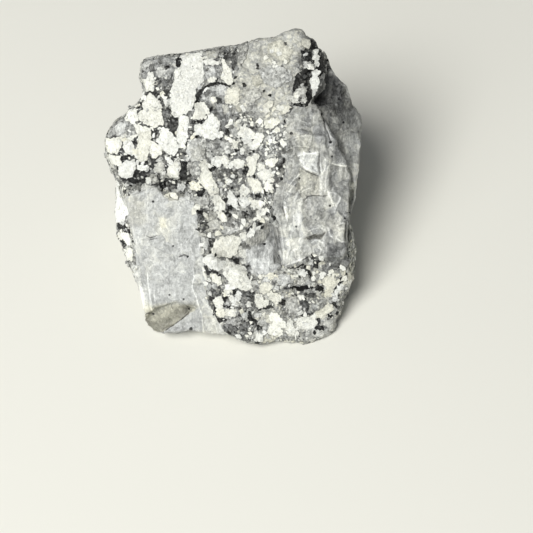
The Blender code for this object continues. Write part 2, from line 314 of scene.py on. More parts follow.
def spreadOver(at, sizes, chance, allowed):
    # indexes of points that keep their own size's distance from each other
    order = [i for i in range(len(at)) if allowed[i]]
    chance.shuffle(order)
    step = max(sizes[i] for i in order)
    taken, kept = {}, []
    for i in order:
        x, y, z = at[i]
        cell = (int(x // step), int(y // step), int(z // step))
        gap = sizes[i] ** 2
        near = [p for dx in (-1, 0, 1) for dy in (-1, 0, 1) for dz in (-1, 0, 1)
                for p in taken.get((cell[0] + dx, cell[1] + dy, cell[2] + dz), ())]
        if any((p[0] - x) ** 2 + (p[1] - y) ** 2 + (p[2] - z) ** 2 < gap for p in near):
            continue
        taken.setdefault(cell, []).append((x, y, z))
        kept.append(i)
    return kept


# facets and veils of the crystal faces: outline, how light it is from 0 to 1, warmth, lift in mm, and how
# wide its border is in pixels where that isn't sharp
facets = dict(
    # the right side: its own dark grey, and painted shade where it turns from the lamps
    darkShadedSide=((316, 58, 340, 58, 352, 74, 376, 110, 376, 165, 361, 163, 345, 165, 331, 162, 336, 156,
               326, 145, 317, 142, 313, 131, 311, 117, 313, 98), 0.67, 0.1, 0.0),
    # painted shade on the part of the ridge that faces the lamps
    ridgeShade=((314, 97, 321, 100, 324, 116, 329, 130, 333, 141, 331, 160, 346, 163, 346, 150, 336, 132,
                326, 112, 318, 98), 0.52, 0.1, 0.0, 1.2),
    # painted shade at the top of the right side
    sideTopShade=((311, 96, 347, 94, 356, 112, 358, 132, 342, 140, 330, 128, 318, 118), 0.54, 0.2, 0.0, 7.0),
    # painted shade in the hollow under the tip
    shelfShade=((318, 101, 350, 99, 352, 110, 336, 115, 322, 112), 0.43, 0.2, 0.0, 4.0),
    # painted shadow under the overhanging tip
    underShadow=((313, 76, 326, 70, 345, 82, 347, 100, 338, 109, 322, 110, 312, 102), 0.37, 0.1, -0.1, 3.5),
    greyFacet=((296, 117, 311, 117, 313, 131, 300, 135, 291, 130), 0.64, 0.1, 0.1),
    veils=((288, 132, 300, 135, 313, 131, 317, 142, 320, 152, 319, 174, 311, 173, 300, 166, 290, 155),
           0.67, 0.4, 0.0),
    # the fan: pale, with a painted highlight
    fan=((297, 153, 319, 151, 319, 174, 311, 172, 301, 166), 0.91, 0.1, 0.15, 2.0),
    underFan=((299, 168, 311, 175, 319, 176, 320, 196, 303, 198, 296, 190), 0.71, 0.6, -0.15),
    paleBand=((319, 150, 328, 162, 331, 192, 320, 195), 0.78, 0.3, 0.05),
    # mid grey, with painted shade as it turns to the right
    midShadedFacet=((330, 165, 351, 167, 354, 177, 354, 205, 341, 198, 330, 192), 0.58, 0.2, -0.14),
    rim=((353, 164, 364, 164, 364, 210, 354, 210), 0.92, 0.4, 0.10),
    boxFacet=((303, 199, 327, 196, 336, 207, 332, 225, 308, 226, 302, 212), 0.67, 0.3, -0.16),
    lowFacet=((329, 222, 346, 221, 346, 241, 336, 238, 329, 232), 0.70, 0.3, 0.05, 1.0),
    blueFacet=((328, 243, 341, 243, 349, 243, 350, 272, 327, 263), 0.50, 0.0, -0.12, 1.2),
    brightLeft=((282, 208, 300, 198, 303, 212, 304, 236, 300, 262, 283, 264), 0.84, 0.3, 0.08, 1.5),
    slit=((302, 239, 310, 236, 316, 234, 326, 233, 321, 238, 311, 240), 0.48, 0.8, -0.45),
    crust=((126, 252, 134, 258, 141, 284, 148, 309, 145, 318, 135, 300, 128, 274), 0.96, 0.4, 0.08, 1.5),
    # the smoky corner: brownish, and darker still with painted shade where it faces down, away from the lamps
    smokyShadeVeil=((148, 304, 163, 299, 182, 299, 198, 306, 192, 316, 166, 332, 144, 340, 140, 316),
               0.71, 1.0, -0.03, 7.0),
    smokyShadeCorner=((148, 323, 164, 318, 178, 314, 191, 311, 190, 314, 179, 322, 162, 333, 147, 340),
                 0.56, 2.0, -0.05, 6.0),
    smokyShadeEdge=((175, 308, 190, 306, 192, 311, 181, 318, 173, 316), 0.56, 2.0, -0.06, 3.5),
    smokyShadeTip=((138, 318, 147, 317, 151, 325, 159, 335, 146, 340), 0.45, 1.9, -0.05, 3.0),
    paleFoot=((161, 332, 177, 322, 189, 312, 198, 310, 203, 316, 203, 344, 156, 344), 0.69, -0.1, 0.10),
    toe=((203, 314, 215, 318, 230, 337, 203, 340), 0.79, 0.3, 0.0),
    topShade=((164, 197, 172, 193, 186, 191, 184, 197, 172, 200), 0.70, 0.7, -0.2),
    slabVeil=((154, 210, 167, 212, 170, 242, 156, 246), 0.81, 0.3, 0.03, 3.0),
    slabSpot=((158, 217, 165, 218, 166, 227, 161, 228), 0.88, 0.8, 0.04, 1.5),
    slabFlecks=((131, 228, 141, 226, 143, 244, 134, 248), 0.84, 0.1, 0.03, 2.0),
    slabRight=((178, 204, 196, 208, 199, 262, 184, 262, 178, 232), 0.75, -0.1, 0.0, 4.0),
    slabLow=((150, 262, 192, 264, 192, 302, 152, 304), 0.75, -0.1, 0.0, 5.0),
    slabLeft=((124, 196, 143, 194, 148, 222, 138, 228, 128, 222), 0.75, 0.3, 0.0, 3.0),
    smallTop=((244, 240, 250, 230, 262, 222, 270, 214, 273, 234, 262, 246, 250, 248), 0.56, 0.3, 0.0, 3.0),
    smallFoot=((250, 260, 270, 257, 272, 276, 250, 276), 0.78, -0.1, 0.0, 3.0),
    darkStrip=((269, 222, 277, 217, 281, 240, 282, 264, 275, 264, 271, 240), 0.49, 0.1, -0.25),
)
zoneTone = dict(                             # lightness, warmth, how broken, how striped
    slab=(0.77, 0.05, 0.25, 0.1), rightBlock=(0.71, 0.25, 1.0, 0.05), smallBlock=(0.71, -0.1, 0.6, 0.6),
)
hiddenTone = (0.76, 0.1, 0.8, 0.15)

brightLines = [                              # width in pixels, then the line: edges that catch the light
    (0.7, 328, 166, 326, 180, 325, 192), (0.3, 285, 202, 288, 218, 285, 230),
    (0.6, 327, 226, 331, 236, 336, 241), (0.8, 283, 266, 295, 262, 306, 257),
    (0.8, 311, 243, 318, 240, 324, 243), (0.5, 303, 137, 308, 132, 312, 134, 311, 142),
    (0.7, 147, 272, 149, 289, 151, 299, 152, 311), (0.5, 154, 289, 155, 304), (0.9, 150, 301, 152, 311),
    (0.6, 193, 267, 194, 277, 192, 287, 196, 297, 199, 307, 202, 315, 204, 333),
    (0.5, 193, 199, 194, 206, 196, 213), (0.5, 199, 237, 200, 245, 201, 251),
    (0.5, 131, 236, 133, 248, 135, 262), (0.9, 327, 128, 329, 135, 336, 142), (0.9, 336, 102, 338, 107),
    (0.9, 354, 175, 355, 185, 354, 206), (0.8, 354, 175, 350, 167, 342, 166, 331, 163),
    (0.9, 354, 176, 357, 172, 360, 166), (0.8, 327, 192, 334, 193, 339, 196, 340, 199, 336, 207, 334, 213),
    (1.0, 276, 228, 279, 246, 282, 265), (0.8, 303, 187, 297, 194, 294, 202), (0.6, 287, 220, 284, 206),
    (0.6, 336, 238, 341, 242, 346, 242), (0.4, 322, 180, 321, 168, 320, 160),
    (0.9, 301, 165, 311, 171, 318, 173), (1.4, 299, 159, 305, 164), (0.2, 295, 203, 293, 222),
    (0.6, 206, 286, 208, 296), (0.4, 289, 141, 297, 137, 306, 135, 312, 136),
    (0.4, 287, 150, 296, 146, 306, 146, 314, 150), (0.5, 294, 157, 304, 154, 314, 153, 320, 152),
    (0.4, 322, 153, 326, 160, 325, 168, 321, 176), (0.4, 288, 187, 294, 179, 301, 173),
    (0.4, 286, 197, 291, 189, 297, 182), (0.4, 291, 203, 298, 194, 306, 189, 314, 187),
    (0.5, 323, 183, 328, 191, 332, 202, 336, 211), (0.4, 280, 222, 282, 236, 284, 250),
    (0.4, 288, 236, 290, 248, 287, 258), (0.4, 307, 232, 313, 229, 320, 228, 327, 231),
    (0.4, 318, 244, 321, 250, 319, 256), (0.4, 336, 226, 343, 223, 349, 224),
    (0.4, 295, 119, 304, 122, 311, 124), (0.3, 299, 144, 303, 150, 304, 156),
]
darkLines = [                                # cracks, and gaps that hold painted shade
    (0.4, 200, 237, 201, 245, 202, 252), (0.5, 282, 206, 285, 218),
    (0.5, 304, 201, 308, 197, 315, 196, 323, 196, 328, 196), (0.7, 322, 114, 326, 128, 331, 141),
    (0.7, 303, 260, 308, 257, 313, 253), (0.9, 288, 269, 298, 266, 303, 264),
    (0.5, 301, 168, 311, 174, 319, 176), (1.3, 349, 229, 350, 240, 349, 260), (1.4, 353, 217, 355, 226),
    (0.5, 346, 213, 357, 211), (0.5, 346, 222, 346, 241), (0.4, 145, 236, 151, 238, 157, 236),
    (0.4, 150, 240, 157, 239), (0.8, 179, 257, 184, 255, 188, 257),
    (0.7, 292, 101, 293, 108, 288, 114, 286, 119), (1.0, 276, 128, 282, 124), (0.4, 319, 153, 320, 174),
    (0.5, 131, 276, 133, 284, 136, 290), (0.5, 143, 315, 152, 313), (0.5, 163, 331, 179, 321, 189, 312),
]
specks = [                                   # dark inclusions: x, y, radius
    (153, 202, 1.3), (173, 246, 1.0), (169.5, 295, 1.2), (184, 299.5, 1.0), (129, 195, 1.0),
    (191, 329, 1.7), (139, 278, 0.8), (189, 309, 1.0), (153, 314, 1.1), (187.5, 257, 1.2),
    (291, 133.5, 1.6), (299.5, 178.5, 1.1), (310, 152, 0.8), (331, 142, 1.5), (332, 156.5, 1.2),
    (344, 122.5, 1.0), (339, 98, 1.6), (322, 114, 1.4), (330, 206, 1.3), (345, 218.5, 1.0),
    (296, 226.5, 1.1), (316, 219.5, 0.7), (285, 44, 1.3), (257.5, 66, 1.3), (258, 69, 1.2),
    (243.5, 85, 1.9), (264.5, 91, 1.1), (270, 95, 1.4), (275, 65.5, 0.7), (279.5, 32, 1.6),
    (284, 58.5, 0.9), (282, 68, 1.1), (278, 256, 1.1), (265, 244, 1.3), (193, 68, 1.0), (186, 92, 0.9),
    (226, 244, 0.9), (165, 68, 1.3), (160.5, 62.5, 1.1), (177, 61, 1.6), (151.5, 67, 1.4), (269, 223, 0.8),
]
lineReach = 9.0                              # in pixels: a line or speck further off than this has no effect

crystalSet = dict(
    cell=1.7,                                # between the middles of the broken steps, in mm
    half=((0.3, 0.9), (0.7, 2.4), (0.3, 0.9)),   # least and most of their half sizes
    turn=0.22, corner=0.1,                   # how unlike they lie, in radians, and how round they are
    rise=0.07, lean=0.06, tone=0.07,         # how much each differs from the face
    warp=((1.3, 0.35), (0.5, 0.12)), shifts=(51.3, 67.9, 81.1),   # waves in the steps' borders, in mm
    edge=0.7, zoneEdge=2,                    # half the border of a sharp facet and of a zone, in pixels
    wobbles=(((1.7, 1.7, 21.7), (0.6, 0.7, 2.9)),   # waves in the facets, across and down, in pixels
             ((1.7, 1.7, 31.9), (0.6, 0.7, 7.3))),
    lineWobble=0.35, speckWobble=0.4,        # the lines' and the specks' share of them
    cloud=((9, 0.12, 15.5),),                # wide clouds in the lightness
)
crystalTurn = Matrix.Rotation(math.radians(40.6), 3, "X") @ Matrix.Rotation(math.radians(-14.5), 3, "Z")


def crystalCells(co, cleaved, chance):
    # broken steps on the crystal faces: every cell has its own rise and lean
    here = np.flatnonzero(cleaved > -0.6)
    points = (co / mm)[here]
    apart, everywhere = np.full(len(points), crystalSet["cell"]), np.full(len(points), True)
    seeds = points[spreadOver(points, apart, chance, everywhere)]
    grid = kdtree.KDTree(len(seeds))
    for i, middle in enumerate(seeds):
        grid.insert(Vector(middle), i)
    grid.balance()
    turns, halves = [], []
    for _ in seeds:
        angle = chance.gauss(0, crystalSet["turn"])
        axis = Vector([chance.uniform(-1, 1) for _ in range(3)]).normalized()
        turns.append(np.array(crystalTurn @ Matrix.Rotation(angle, 3, axis)))
        halves.append([chance.uniform(*span) for span in crystalSet["half"]])
    turns, halves = np.array(turns), np.array(halves)
    warp = np.stack([wavesAt(co[here], [(size, sway, shift) for size, sway in crystalSet["warp"]])
                     for shift in crystalSet["shifts"]], 1)
    nearest = np.array([[found[1] for found in grid.find_n(Vector(p), 8)] for p in points])
    distance = np.empty(nearest.shape)
    for k, cell in enumerate(nearest.T):
        local = np.einsum("ni,nij->nj", points + warp - seeds[cell], turns[cell])
        distance[:, k] = boxBy(local, halves[cell], crystalSet["corner"])
    order = np.argsort(distance, axis=1)
    rows = np.arange(len(points))
    best = nearest[rows, order[:, 0]]
    tilt = np.array([[chance.uniform(-1, 1) for _ in range(3)] for _ in seeds])[best]
    out = dict(rise=np.array([chance.uniform(-1, 1) for _ in seeds])[best],
               lean=((points - seeds[best]) * tilt).sum(1).clip(-2, 2),
               seam=distance[rows, order[:, 1]] - distance[rows, order[:, 0]],
               tone=np.array([chance.uniform(-1, 1) for _ in seeds])[best])
    for name, values in out.items():
        whole = np.full(len(co), 2.0 if name == "seam" else 0.0)
        whole[here] = values
        out[name] = whole
    print("crystal cells", len(seeds))
    return out


def linesBy(px, py, lines):
    far = np.full(len(px), lineReach)
    for width, *flat in lines:
        far = np.minimum(far, fromLine(px, py, pairs(flat), width))
    return far * mmPerPixel


def specksBy(px, py):
    far = np.full(len(px), lineReach)
    for x, y, radius in specks:
        far = np.minimum(far, np.hypot(px - x, py - y) - radius)
    return far * mmPerPixel


def crystalFields(co, face):
    # lightness, warmth and relief of the crystal faces
    px, py = picturePlaces(co)
    wobbleX, wobbleY = (wavesAt(co, waves) for waves in crystalSet["wobbles"])
    shown = shownBy(face)
    tone, warm, broken, striped = (np.full(len(co), value) for value in hiddenTone)
    tone = tone + wavesAt(co, crystalSet["cloud"])
    lift = np.zeros(len(co))
    edge = crystalSet["zoneEdge"]
    for name, outline in cleavedZones.items():
        share = smooth(-edge, edge, insideBy(px, py, pairs(outline))) * shown
        for field, value in zip((tone, warm, broken, striped), zoneTone[name]):
            field += (value - field) * share
    for outline, light, warmth, rise, *soft in facets.values():
        edge = soft[0] if soft else crystalSet["edge"]
        share = smooth(-edge, edge, insideBy(px + wobbleX, py + wobbleY, pairs(outline))) * shown
        for field, value in zip((tone, warm, lift), (light, warmth, rise)):
            field += (value - field) * share
    hide = (1 - shown) * 3                   # in mm, so that no line or speck runs on round the side
    line, dot = crystalSet["lineWobble"], crystalSet["speckWobble"]
    lineX, lineY = px + wobbleX * line, py + wobbleY * line
    return dict(tone=tone, warm=warm, broken=broken, striped=striped, lift=lift,
                brightLine=linesBy(lineX, lineY, brightLines) + hide,
                darkLine=linesBy(lineX, lineY, darkLines) + hide,
                speck=specksBy(px + wobbleX * dot, py + wobbleY * dot) + hide)


def store(mesh, name, values, domain="POINT"):
    attribute = mesh.attributes.new(name, "FLOAT", domain)
    attribute.data.foreach_set("value", np.asarray(values, np.float32))


def withinBox(co):
    # no piece goes past the solid's box
    return np.clip(co, *(np.array(corner) for corner in cadBox))


# grains and patches of grains round the crystals
patches = dict(
    # white with painted light, on the corner that turns from the lamps
    snow=[
        (313, 50, 316, 50, 317, 54, 319, 57, 317.5, 61, 318, 66, 315.5, 66, 315, 69, 313, 66, 314, 61,
         311.5, 59, 313.5, 55),
        (306, 63, 311, 64, 313, 68, 310, 69, 305, 68),
        (311, 71, 314, 69, 319, 72, 316, 76, 318, 82, 317, 89, 314, 98, 310, 96, 307, 92, 308, 87, 309, 81,
         312, 76),
    ],
    white=[
        (180, 56, 202, 52, 203, 80, 196, 88, 195, 99, 191, 109, 178, 115, 171, 113, 171, 90, 175, 80,
         174, 73, 181, 67),
        (222, 58, 230, 69, 233, 82, 230, 85, 220, 78, 224, 71),
        (195, 104, 204, 103, 209, 111, 206, 118, 201, 120, 193, 118, 195, 111),
        (211, 113, 219, 124, 215, 139, 206, 138, 195, 134, 195, 125, 204, 124),
        (179, 116, 188, 117, 188, 128, 186, 143, 179, 148, 177, 138, 179, 126),
        (163, 127, 173, 134, 178, 146, 175, 156, 165, 152, 159, 143, 160, 133),
        (140, 111, 150, 108, 161, 109, 163, 124, 153, 127, 144, 123, 138, 118),
        (143, 104, 149, 93, 157, 99, 163, 108, 151, 107, 144, 111), (141, 80, 153, 79, 153, 90, 144, 91),
        (126, 111, 136, 109, 137, 120, 132, 123, 125, 119),
        (134, 124, 150, 128, 150, 133, 141, 132, 132, 139, 125, 140, 137, 134),
        (150, 141, 162, 147, 161, 154, 153, 158, 150, 152),
        (104, 140, 118, 137, 119, 146, 117, 153, 106, 152, 103, 145),
        (104, 155, 118, 157, 121, 165, 108, 165),
        (125, 141, 131, 141, 133, 149, 136, 155, 128, 153, 122, 147),
        (119, 167, 126, 160, 136, 163, 132, 176, 125, 178, 118, 174),
        (137, 166, 148, 165, 145, 170, 139, 170),
        (206, 125, 210, 117, 216, 117, 220, 123, 216, 136, 214, 138, 206, 136, 201, 132),
        (218, 132, 223, 132, 223, 136, 220, 139, 216, 137),
        (240, 128, 245, 126, 252, 130, 254, 134, 254, 138, 249, 141, 243, 137, 239, 135),
        (256, 134, 262, 134, 264, 136, 261, 142, 258, 148, 256, 150, 254, 148, 254, 142),
        (248, 142, 253, 141, 256, 146, 254, 149, 249, 148),
        (225, 136, 233, 140, 237, 142, 237, 147, 233, 148, 231, 143, 226, 139),
        (240, 148, 243, 148, 244, 154, 241, 154),
        (211, 157, 219, 157, 221, 160, 221, 166, 216, 167, 212, 166, 211, 162),
        (220, 157, 225, 155, 230, 161, 227, 165, 224, 166, 222, 163),
        (231, 162, 238, 159, 245, 161, 244, 166, 238, 168, 234, 167),
        (246, 159, 255, 155, 259, 155, 257, 160, 256, 169, 252, 175, 248, 175, 249, 167),
        (264, 160, 272, 159, 277, 156, 278, 159, 273, 166, 269, 167),
        (258, 163, 264, 165, 266, 169, 258, 170),
        (262, 170, 268, 170, 271, 175, 269, 179, 264, 181, 261, 179, 258, 174),
        (264, 183, 269, 182, 272, 184, 272, 189, 268, 191, 264, 189),
        (243, 184, 248, 188, 250, 192, 246, 196, 242, 195, 239, 191),
        (200, 163, 205, 160, 208, 169, 211, 173, 214, 180, 218, 190, 216, 194, 211, 195, 207, 189, 202, 183,
         200, 177, 203, 172),
        (226, 180, 231, 179, 232, 182, 228, 184),
        (229, 190, 231, 190, 233, 195, 237, 199, 237, 204, 240, 209, 237, 209, 231, 205, 227, 203,
         228, 197),
        (211, 196, 219, 196, 222, 200, 225, 205, 224, 209, 218, 210, 214, 203),
        (240, 197, 249, 198, 252, 203, 248, 205, 243, 209, 240, 205),
        (252, 200, 259, 200, 263, 203, 262, 207, 257, 209, 252, 206),
        (257, 211, 262, 209, 267, 207, 268, 210, 264, 215, 260, 216, 256, 214),
        (216, 211, 222, 212, 226, 217, 227, 221, 222, 222, 218, 217),
        (219, 238, 232, 235, 240, 238, 242, 242, 238, 245, 237, 254, 231, 257, 221, 256, 211, 252,
         214, 243),
        (204, 258, 210, 255, 215, 256, 216, 259, 227, 262, 222, 269, 217, 271, 209, 267, 205, 262),
        (227, 259, 231, 263, 235, 266, 242, 266, 246, 269, 247, 276, 251, 283, 253, 288, 247, 291, 239, 289,
         230, 286, 228, 280, 224, 274, 223, 267),
        (210, 274, 215, 274, 220, 278, 221, 283, 218, 286, 213, 281),
        (223, 290, 228, 288, 232, 291, 231, 295, 226, 295),
        (237, 291, 242, 294, 239, 300, 237, 306, 232, 305, 231, 301, 236, 297),
        (213, 300, 220, 296, 223, 302, 222, 308, 215, 307),
        (226, 309, 235, 309, 235, 316, 230, 316, 226, 315), (240, 233, 246, 232, 246, 237, 242, 240),
        (249, 232, 254, 233, 251, 238, 247, 236),
        (256, 294, 261, 294, 264, 300, 268, 300, 269, 305, 258, 309, 255, 301),
        (271, 313, 277, 313, 280, 317, 285, 323, 285, 326, 281, 328, 283, 334, 275, 336, 268, 332, 271, 323,
         269, 316),
        (288, 319, 290, 318, 294, 328, 298, 333, 298, 335, 294, 335, 287, 330, 286, 325),
        (298, 318, 302, 317, 308, 316, 313, 317, 317, 320, 317, 324, 310, 328, 307, 330, 298, 327,
         297, 323),
        (298, 271, 303, 270, 307, 273, 304, 276, 299, 275), (320, 273, 325, 273, 324, 277, 320, 279),
        (298, 295, 303, 295, 305, 299, 300, 300),
        (335, 292, 339, 285, 343, 284, 343, 288, 338, 294, 338, 300, 335, 301),
        (256, 335, 263, 333, 263, 340, 258, 343, 255, 339), (303, 98, 306, 97, 306, 102, 301, 103),
        (115, 178, 122, 181, 122, 197, 127, 213, 124, 222, 116, 220, 114, 199),
        (122, 231, 130, 234, 132, 243, 128, 245, 124, 239), (118, 233, 124, 233, 122, 240, 118, 238),
        (121, 249, 133, 249, 135, 261, 129, 260), (165, 157, 169, 158, 174, 163, 174, 166, 169, 163),
        (168, 168, 173, 167, 178, 172, 177, 178, 172, 180, 168, 176),
        (146, 177, 150, 177, 151, 182, 147, 183),
    ],
    cream=[
        (225, 90, 239, 88, 238, 104, 225, 103),
        (140, 133, 151, 131, 151, 138, 150, 147, 147, 160, 139, 161, 136, 155, 138, 143),
        (234, 122, 239, 123, 239, 129, 235, 128),
        (248, 178, 255, 180, 258, 179, 262, 184, 262, 189, 256, 193, 252, 190, 250, 184),
        (189, 183, 194, 181, 200, 184, 200, 189, 197, 191, 191, 188),
        (216, 309, 222, 308, 226, 314, 224, 318, 217, 316),
        (265, 275, 278, 275, 278, 278, 273, 280, 266, 279),
        (260, 286, 264, 283, 270, 283, 272, 285, 270, 291, 263, 294, 260, 291),
        (272, 293, 280, 293, 281, 300, 275, 303, 270, 298),
        (324, 279, 329, 275, 335, 278, 337, 283, 333, 288, 327, 288, 323, 283),
        (325, 290, 331, 288, 333, 293, 330, 297, 325, 296),
        (346, 268, 350, 265, 355, 268, 354, 274, 348, 275),
        (313, 315, 318, 310, 323, 309, 328, 303, 331, 305, 334, 310, 328, 313, 323, 318, 315, 317),
        (265, 338, 275, 337, 273, 342, 262, 346), (263, 105, 272, 101, 273, 105, 267, 111, 264, 112),
        (280, 107, 284, 105, 291, 107, 287, 112, 282, 114),
        (264, 122, 273, 118, 281, 120, 272, 129, 266, 127), (163, 190, 167, 191, 170, 197, 165, 196),
    ],
    pale=[
        (293, 95, 297, 89, 303, 86, 307, 89, 306, 96, 302, 101, 296, 104, 292, 102),
        (202, 53, 220, 51, 216, 59, 206, 62), (188, 139, 205, 139, 206, 160, 192, 161, 187, 153),
        (163, 99, 172, 99, 172, 105, 165, 106),
        (194, 200, 204, 196, 209, 200, 208, 207, 202, 209, 195, 207),
        (231, 130, 237, 130, 238, 135, 233, 136),
        (188, 139, 206, 138, 206, 148, 204, 158, 193, 158, 188, 151),
        (210, 211, 216, 211, 216, 222, 206, 222), (239, 250, 246, 250, 246, 257, 240, 257),
        (201, 238, 208, 238, 208, 250, 203, 251), (224, 223, 237, 222, 240, 230, 231, 234, 223, 233),
        (210, 217, 221, 221, 221, 229, 212, 230, 208, 224),
        (298, 279, 303, 279, 306, 283, 304, 285, 297, 284),
        (338, 297, 345, 292, 350, 293, 351, 297, 345, 301, 340, 303),
        (348, 278, 354, 277, 360, 283, 359, 297, 353, 300, 350, 288),
        (311, 305, 317, 305, 318, 309, 315, 310),
        (322, 323, 330, 319, 334, 321, 334, 328, 338, 333, 329, 331, 326, 326),
        (336, 318, 340, 314, 345, 318, 345, 323, 340, 330, 336, 324),
        (316, 333, 323, 332, 338, 333, 333, 336, 323, 338, 317, 339),
        (307, 258, 313, 259, 313, 265, 308, 265), (278, 275, 289, 274, 290, 283, 283, 287, 278, 282),
        (304, 61, 310, 61, 316, 65, 309, 68, 304, 68), (132, 264, 139, 266, 143, 293, 138, 291, 130, 277),
        (154, 161, 160, 160, 165, 163, 164, 170, 160, 174, 155, 171),
        (174, 158, 180, 158, 181, 166, 177, 168, 174, 165),
        (160, 173, 166, 172, 168, 178, 163, 181, 160, 178),
        (178, 184, 184, 182, 187, 187, 184, 192, 179, 191),
    ],
    grey=[
        (138, 78, 144, 60, 179, 55, 180, 66, 175, 74, 174, 80, 167, 82, 162, 80, 153, 74, 150, 80, 141, 80),
        (204, 65, 219, 65, 219, 78, 204, 80), (201, 96, 211, 86, 229, 86, 224, 103, 211, 103, 200, 101),
        (214, 103, 228, 103, 234, 120, 220, 123), (206, 141, 232, 141, 235, 152, 218, 155, 206, 154),
        (108, 130, 121, 117, 132, 123, 140, 132, 125, 139, 119, 141, 115, 134, 107, 139),
        (188, 163, 200, 162, 201, 179, 193, 176), (209, 150, 226, 148, 225, 154, 218, 156, 210, 155),
        (189, 162, 200, 165, 200, 175, 196, 179, 189, 172),
        (243, 142, 248, 143, 255, 150, 257, 153, 249, 156, 245, 154, 243, 148),
        (256, 128, 264, 128, 264, 133, 257, 134), (226, 323, 231, 317, 240, 317, 242, 324, 234, 326),
        (263, 325, 268, 320, 271, 323, 268, 330, 263, 330),
        (302, 333, 310, 331, 315, 337, 305, 343, 303, 338),
        (286, 300, 297, 298, 297, 315, 288, 316, 286, 310),
        (280, 310, 285, 311, 288, 317, 286, 319, 282, 315), (325, 71, 329, 71, 322, 85, 318, 88, 319, 80),
        (129, 262, 135, 262, 133, 267, 129, 267), (150, 172, 156, 174, 158, 181, 153, 183, 149, 179),
    ],
    darkGrey=[
        (216, 59, 240, 50, 239, 61, 233, 71, 230, 63, 223, 59), (163, 111, 169, 110, 170, 118, 165, 123),
        (225, 140, 230, 142, 233, 146, 231, 150, 225, 153, 222, 148, 226, 143),
        (271, 163, 277, 163, 277, 167, 272, 170, 271, 167), (274, 175, 279, 176, 280, 182, 274, 182),
        (251, 211, 256, 209, 254, 214, 251, 214), (234, 180, 243, 181, 240, 188, 235, 188, 233, 184),
        (212, 169, 225, 169, 223, 178, 218, 179, 216, 173),
        (225, 168, 233, 169, 243, 170, 243, 175, 235, 175, 226, 175),
        (242, 292, 254, 291, 255, 298, 256, 308, 254, 311, 249, 306, 246, 312, 245, 305, 239, 301,
         238, 298),
        (224, 324, 230, 324, 238, 330, 237, 337, 230, 336, 225, 332),
        (239, 245, 246, 242, 251, 246, 251, 249, 242, 248),
        (242, 212, 247, 213, 249, 217, 246, 221, 242, 217),
        (323, 260, 328, 260, 340, 263, 338, 270, 331, 271, 327, 275, 323, 270, 322, 264),
        (304, 294, 309, 293, 315, 293, 315, 297, 306, 298),
        (299, 301, 305, 300, 310, 304, 308, 311, 304, 311, 300, 308),
        (340, 304, 347, 303, 350, 307, 345, 313, 340, 310),
        (300, 267, 306, 266, 309, 270, 306, 272, 301, 270),
        (240, 326, 246, 322, 248, 327, 246, 333, 243, 339, 239, 336),
    ],
    black=[
        (195, 103, 195, 96, 200, 89, 207, 84, 217, 81, 230, 85, 230, 87, 217, 84, 208, 88, 202, 92, 199, 99,
         199, 103),
        (212, 108, 207, 118, 201, 121, 194, 123, 194, 121, 200, 119, 206, 113, 206, 108),
        (166, 118, 172, 115, 178, 119, 178, 128, 173, 135, 167, 126),
        (127, 176, 134, 169, 143, 170, 146, 176, 146, 183, 134, 184, 127, 181, 117, 175, 115, 165, 118, 166,
         119, 174),
        (151, 160, 157, 158, 159, 165, 152, 168), (118, 152, 126, 156, 124, 163, 121, 163),
        (132, 141, 137, 141, 137, 147, 134, 150), (119, 147, 126, 146, 126, 150, 120, 151),
        (180, 162, 187, 166, 187, 180, 182, 181, 179, 171), (162, 89, 170, 90, 169, 97, 165, 94),
        (209, 137, 212, 138, 216, 138, 215, 140, 210, 140),
        (220, 128, 225, 127, 229, 128, 231, 134, 228, 136, 225, 134, 225, 130, 220, 131),
        (233, 151, 238, 149, 240, 150, 235, 153), (244, 166, 248, 166, 248, 174, 245, 176, 243, 172),
        (253, 173, 256, 175, 255, 179, 252, 178), (277, 165, 282, 163, 284, 169, 279, 172, 277, 169),
        (282, 157, 285, 158, 285, 163, 283, 163), (262, 190, 269, 192, 273, 194, 269, 196, 264, 195),
        (255, 195, 260, 193, 261, 198, 256, 198), (196, 192, 202, 188, 206, 189, 202, 197, 198, 197),
        (222, 199, 227, 198, 226, 203, 223, 202), (226, 206, 231, 205, 234, 209, 228, 210),
        (223, 214, 228, 211, 233, 215, 230, 218, 226, 217),
        (242, 211, 248, 211, 249, 215, 246, 219, 243, 220, 243, 215),
        (195, 210, 204, 210, 205, 214, 202, 215, 195, 213),
        (209, 238, 215, 239, 213, 247, 210, 247, 208, 242),
        (231, 258, 238, 258.5, 240, 265, 236, 264, 233, 260.5),
        (204, 262, 207, 265, 208, 269, 214, 270, 221, 274, 221, 278, 216, 274, 207, 273, 204, 269),
        (206, 281, 210, 282, 215, 287, 214, 289, 207, 285),
        (232, 290, 236, 291, 234, 295, 228, 297, 225, 305, 231, 307, 228, 308, 222, 301, 223, 297),
        (246, 292, 254, 291, 254, 297, 249, 298, 246, 296),
        (246, 314, 252, 314, 253, 318, 260, 322, 262, 328, 258, 332, 256, 326, 252, 326, 248, 324),
        (211, 311, 215, 313, 217, 317, 221, 318, 226, 321, 222, 323, 218, 323, 213, 317),
        (258, 221, 263, 220, 261, 226, 258, 225),
        (288, 268.5, 295, 266.5, 302, 264, 306, 265.5, 301, 266.5, 295, 269),
        (307, 270, 310, 271, 312, 276, 310, 279), (314, 260, 320, 260, 318, 268, 313, 268),
        (313, 288, 318, 284, 324, 288, 322, 293, 317, 290),
        (283, 288, 291, 286.5, 300, 286, 308, 287.5, 313, 286, 313, 288, 304, 289.5, 298, 291, 296, 288.5,
         290, 288.5),
        (298, 313, 313, 313, 311, 315, 304, 318, 300, 315), (331, 303, 336, 303, 338, 308, 334, 308),
        (333, 294, 335, 287, 342, 277, 345, 277, 343, 282, 337, 287.5, 335, 294),
        (317, 318, 320, 318, 320, 323, 318, 325),
        (312, 330, 317, 325, 323, 326, 325, 330, 318, 332, 314, 335),
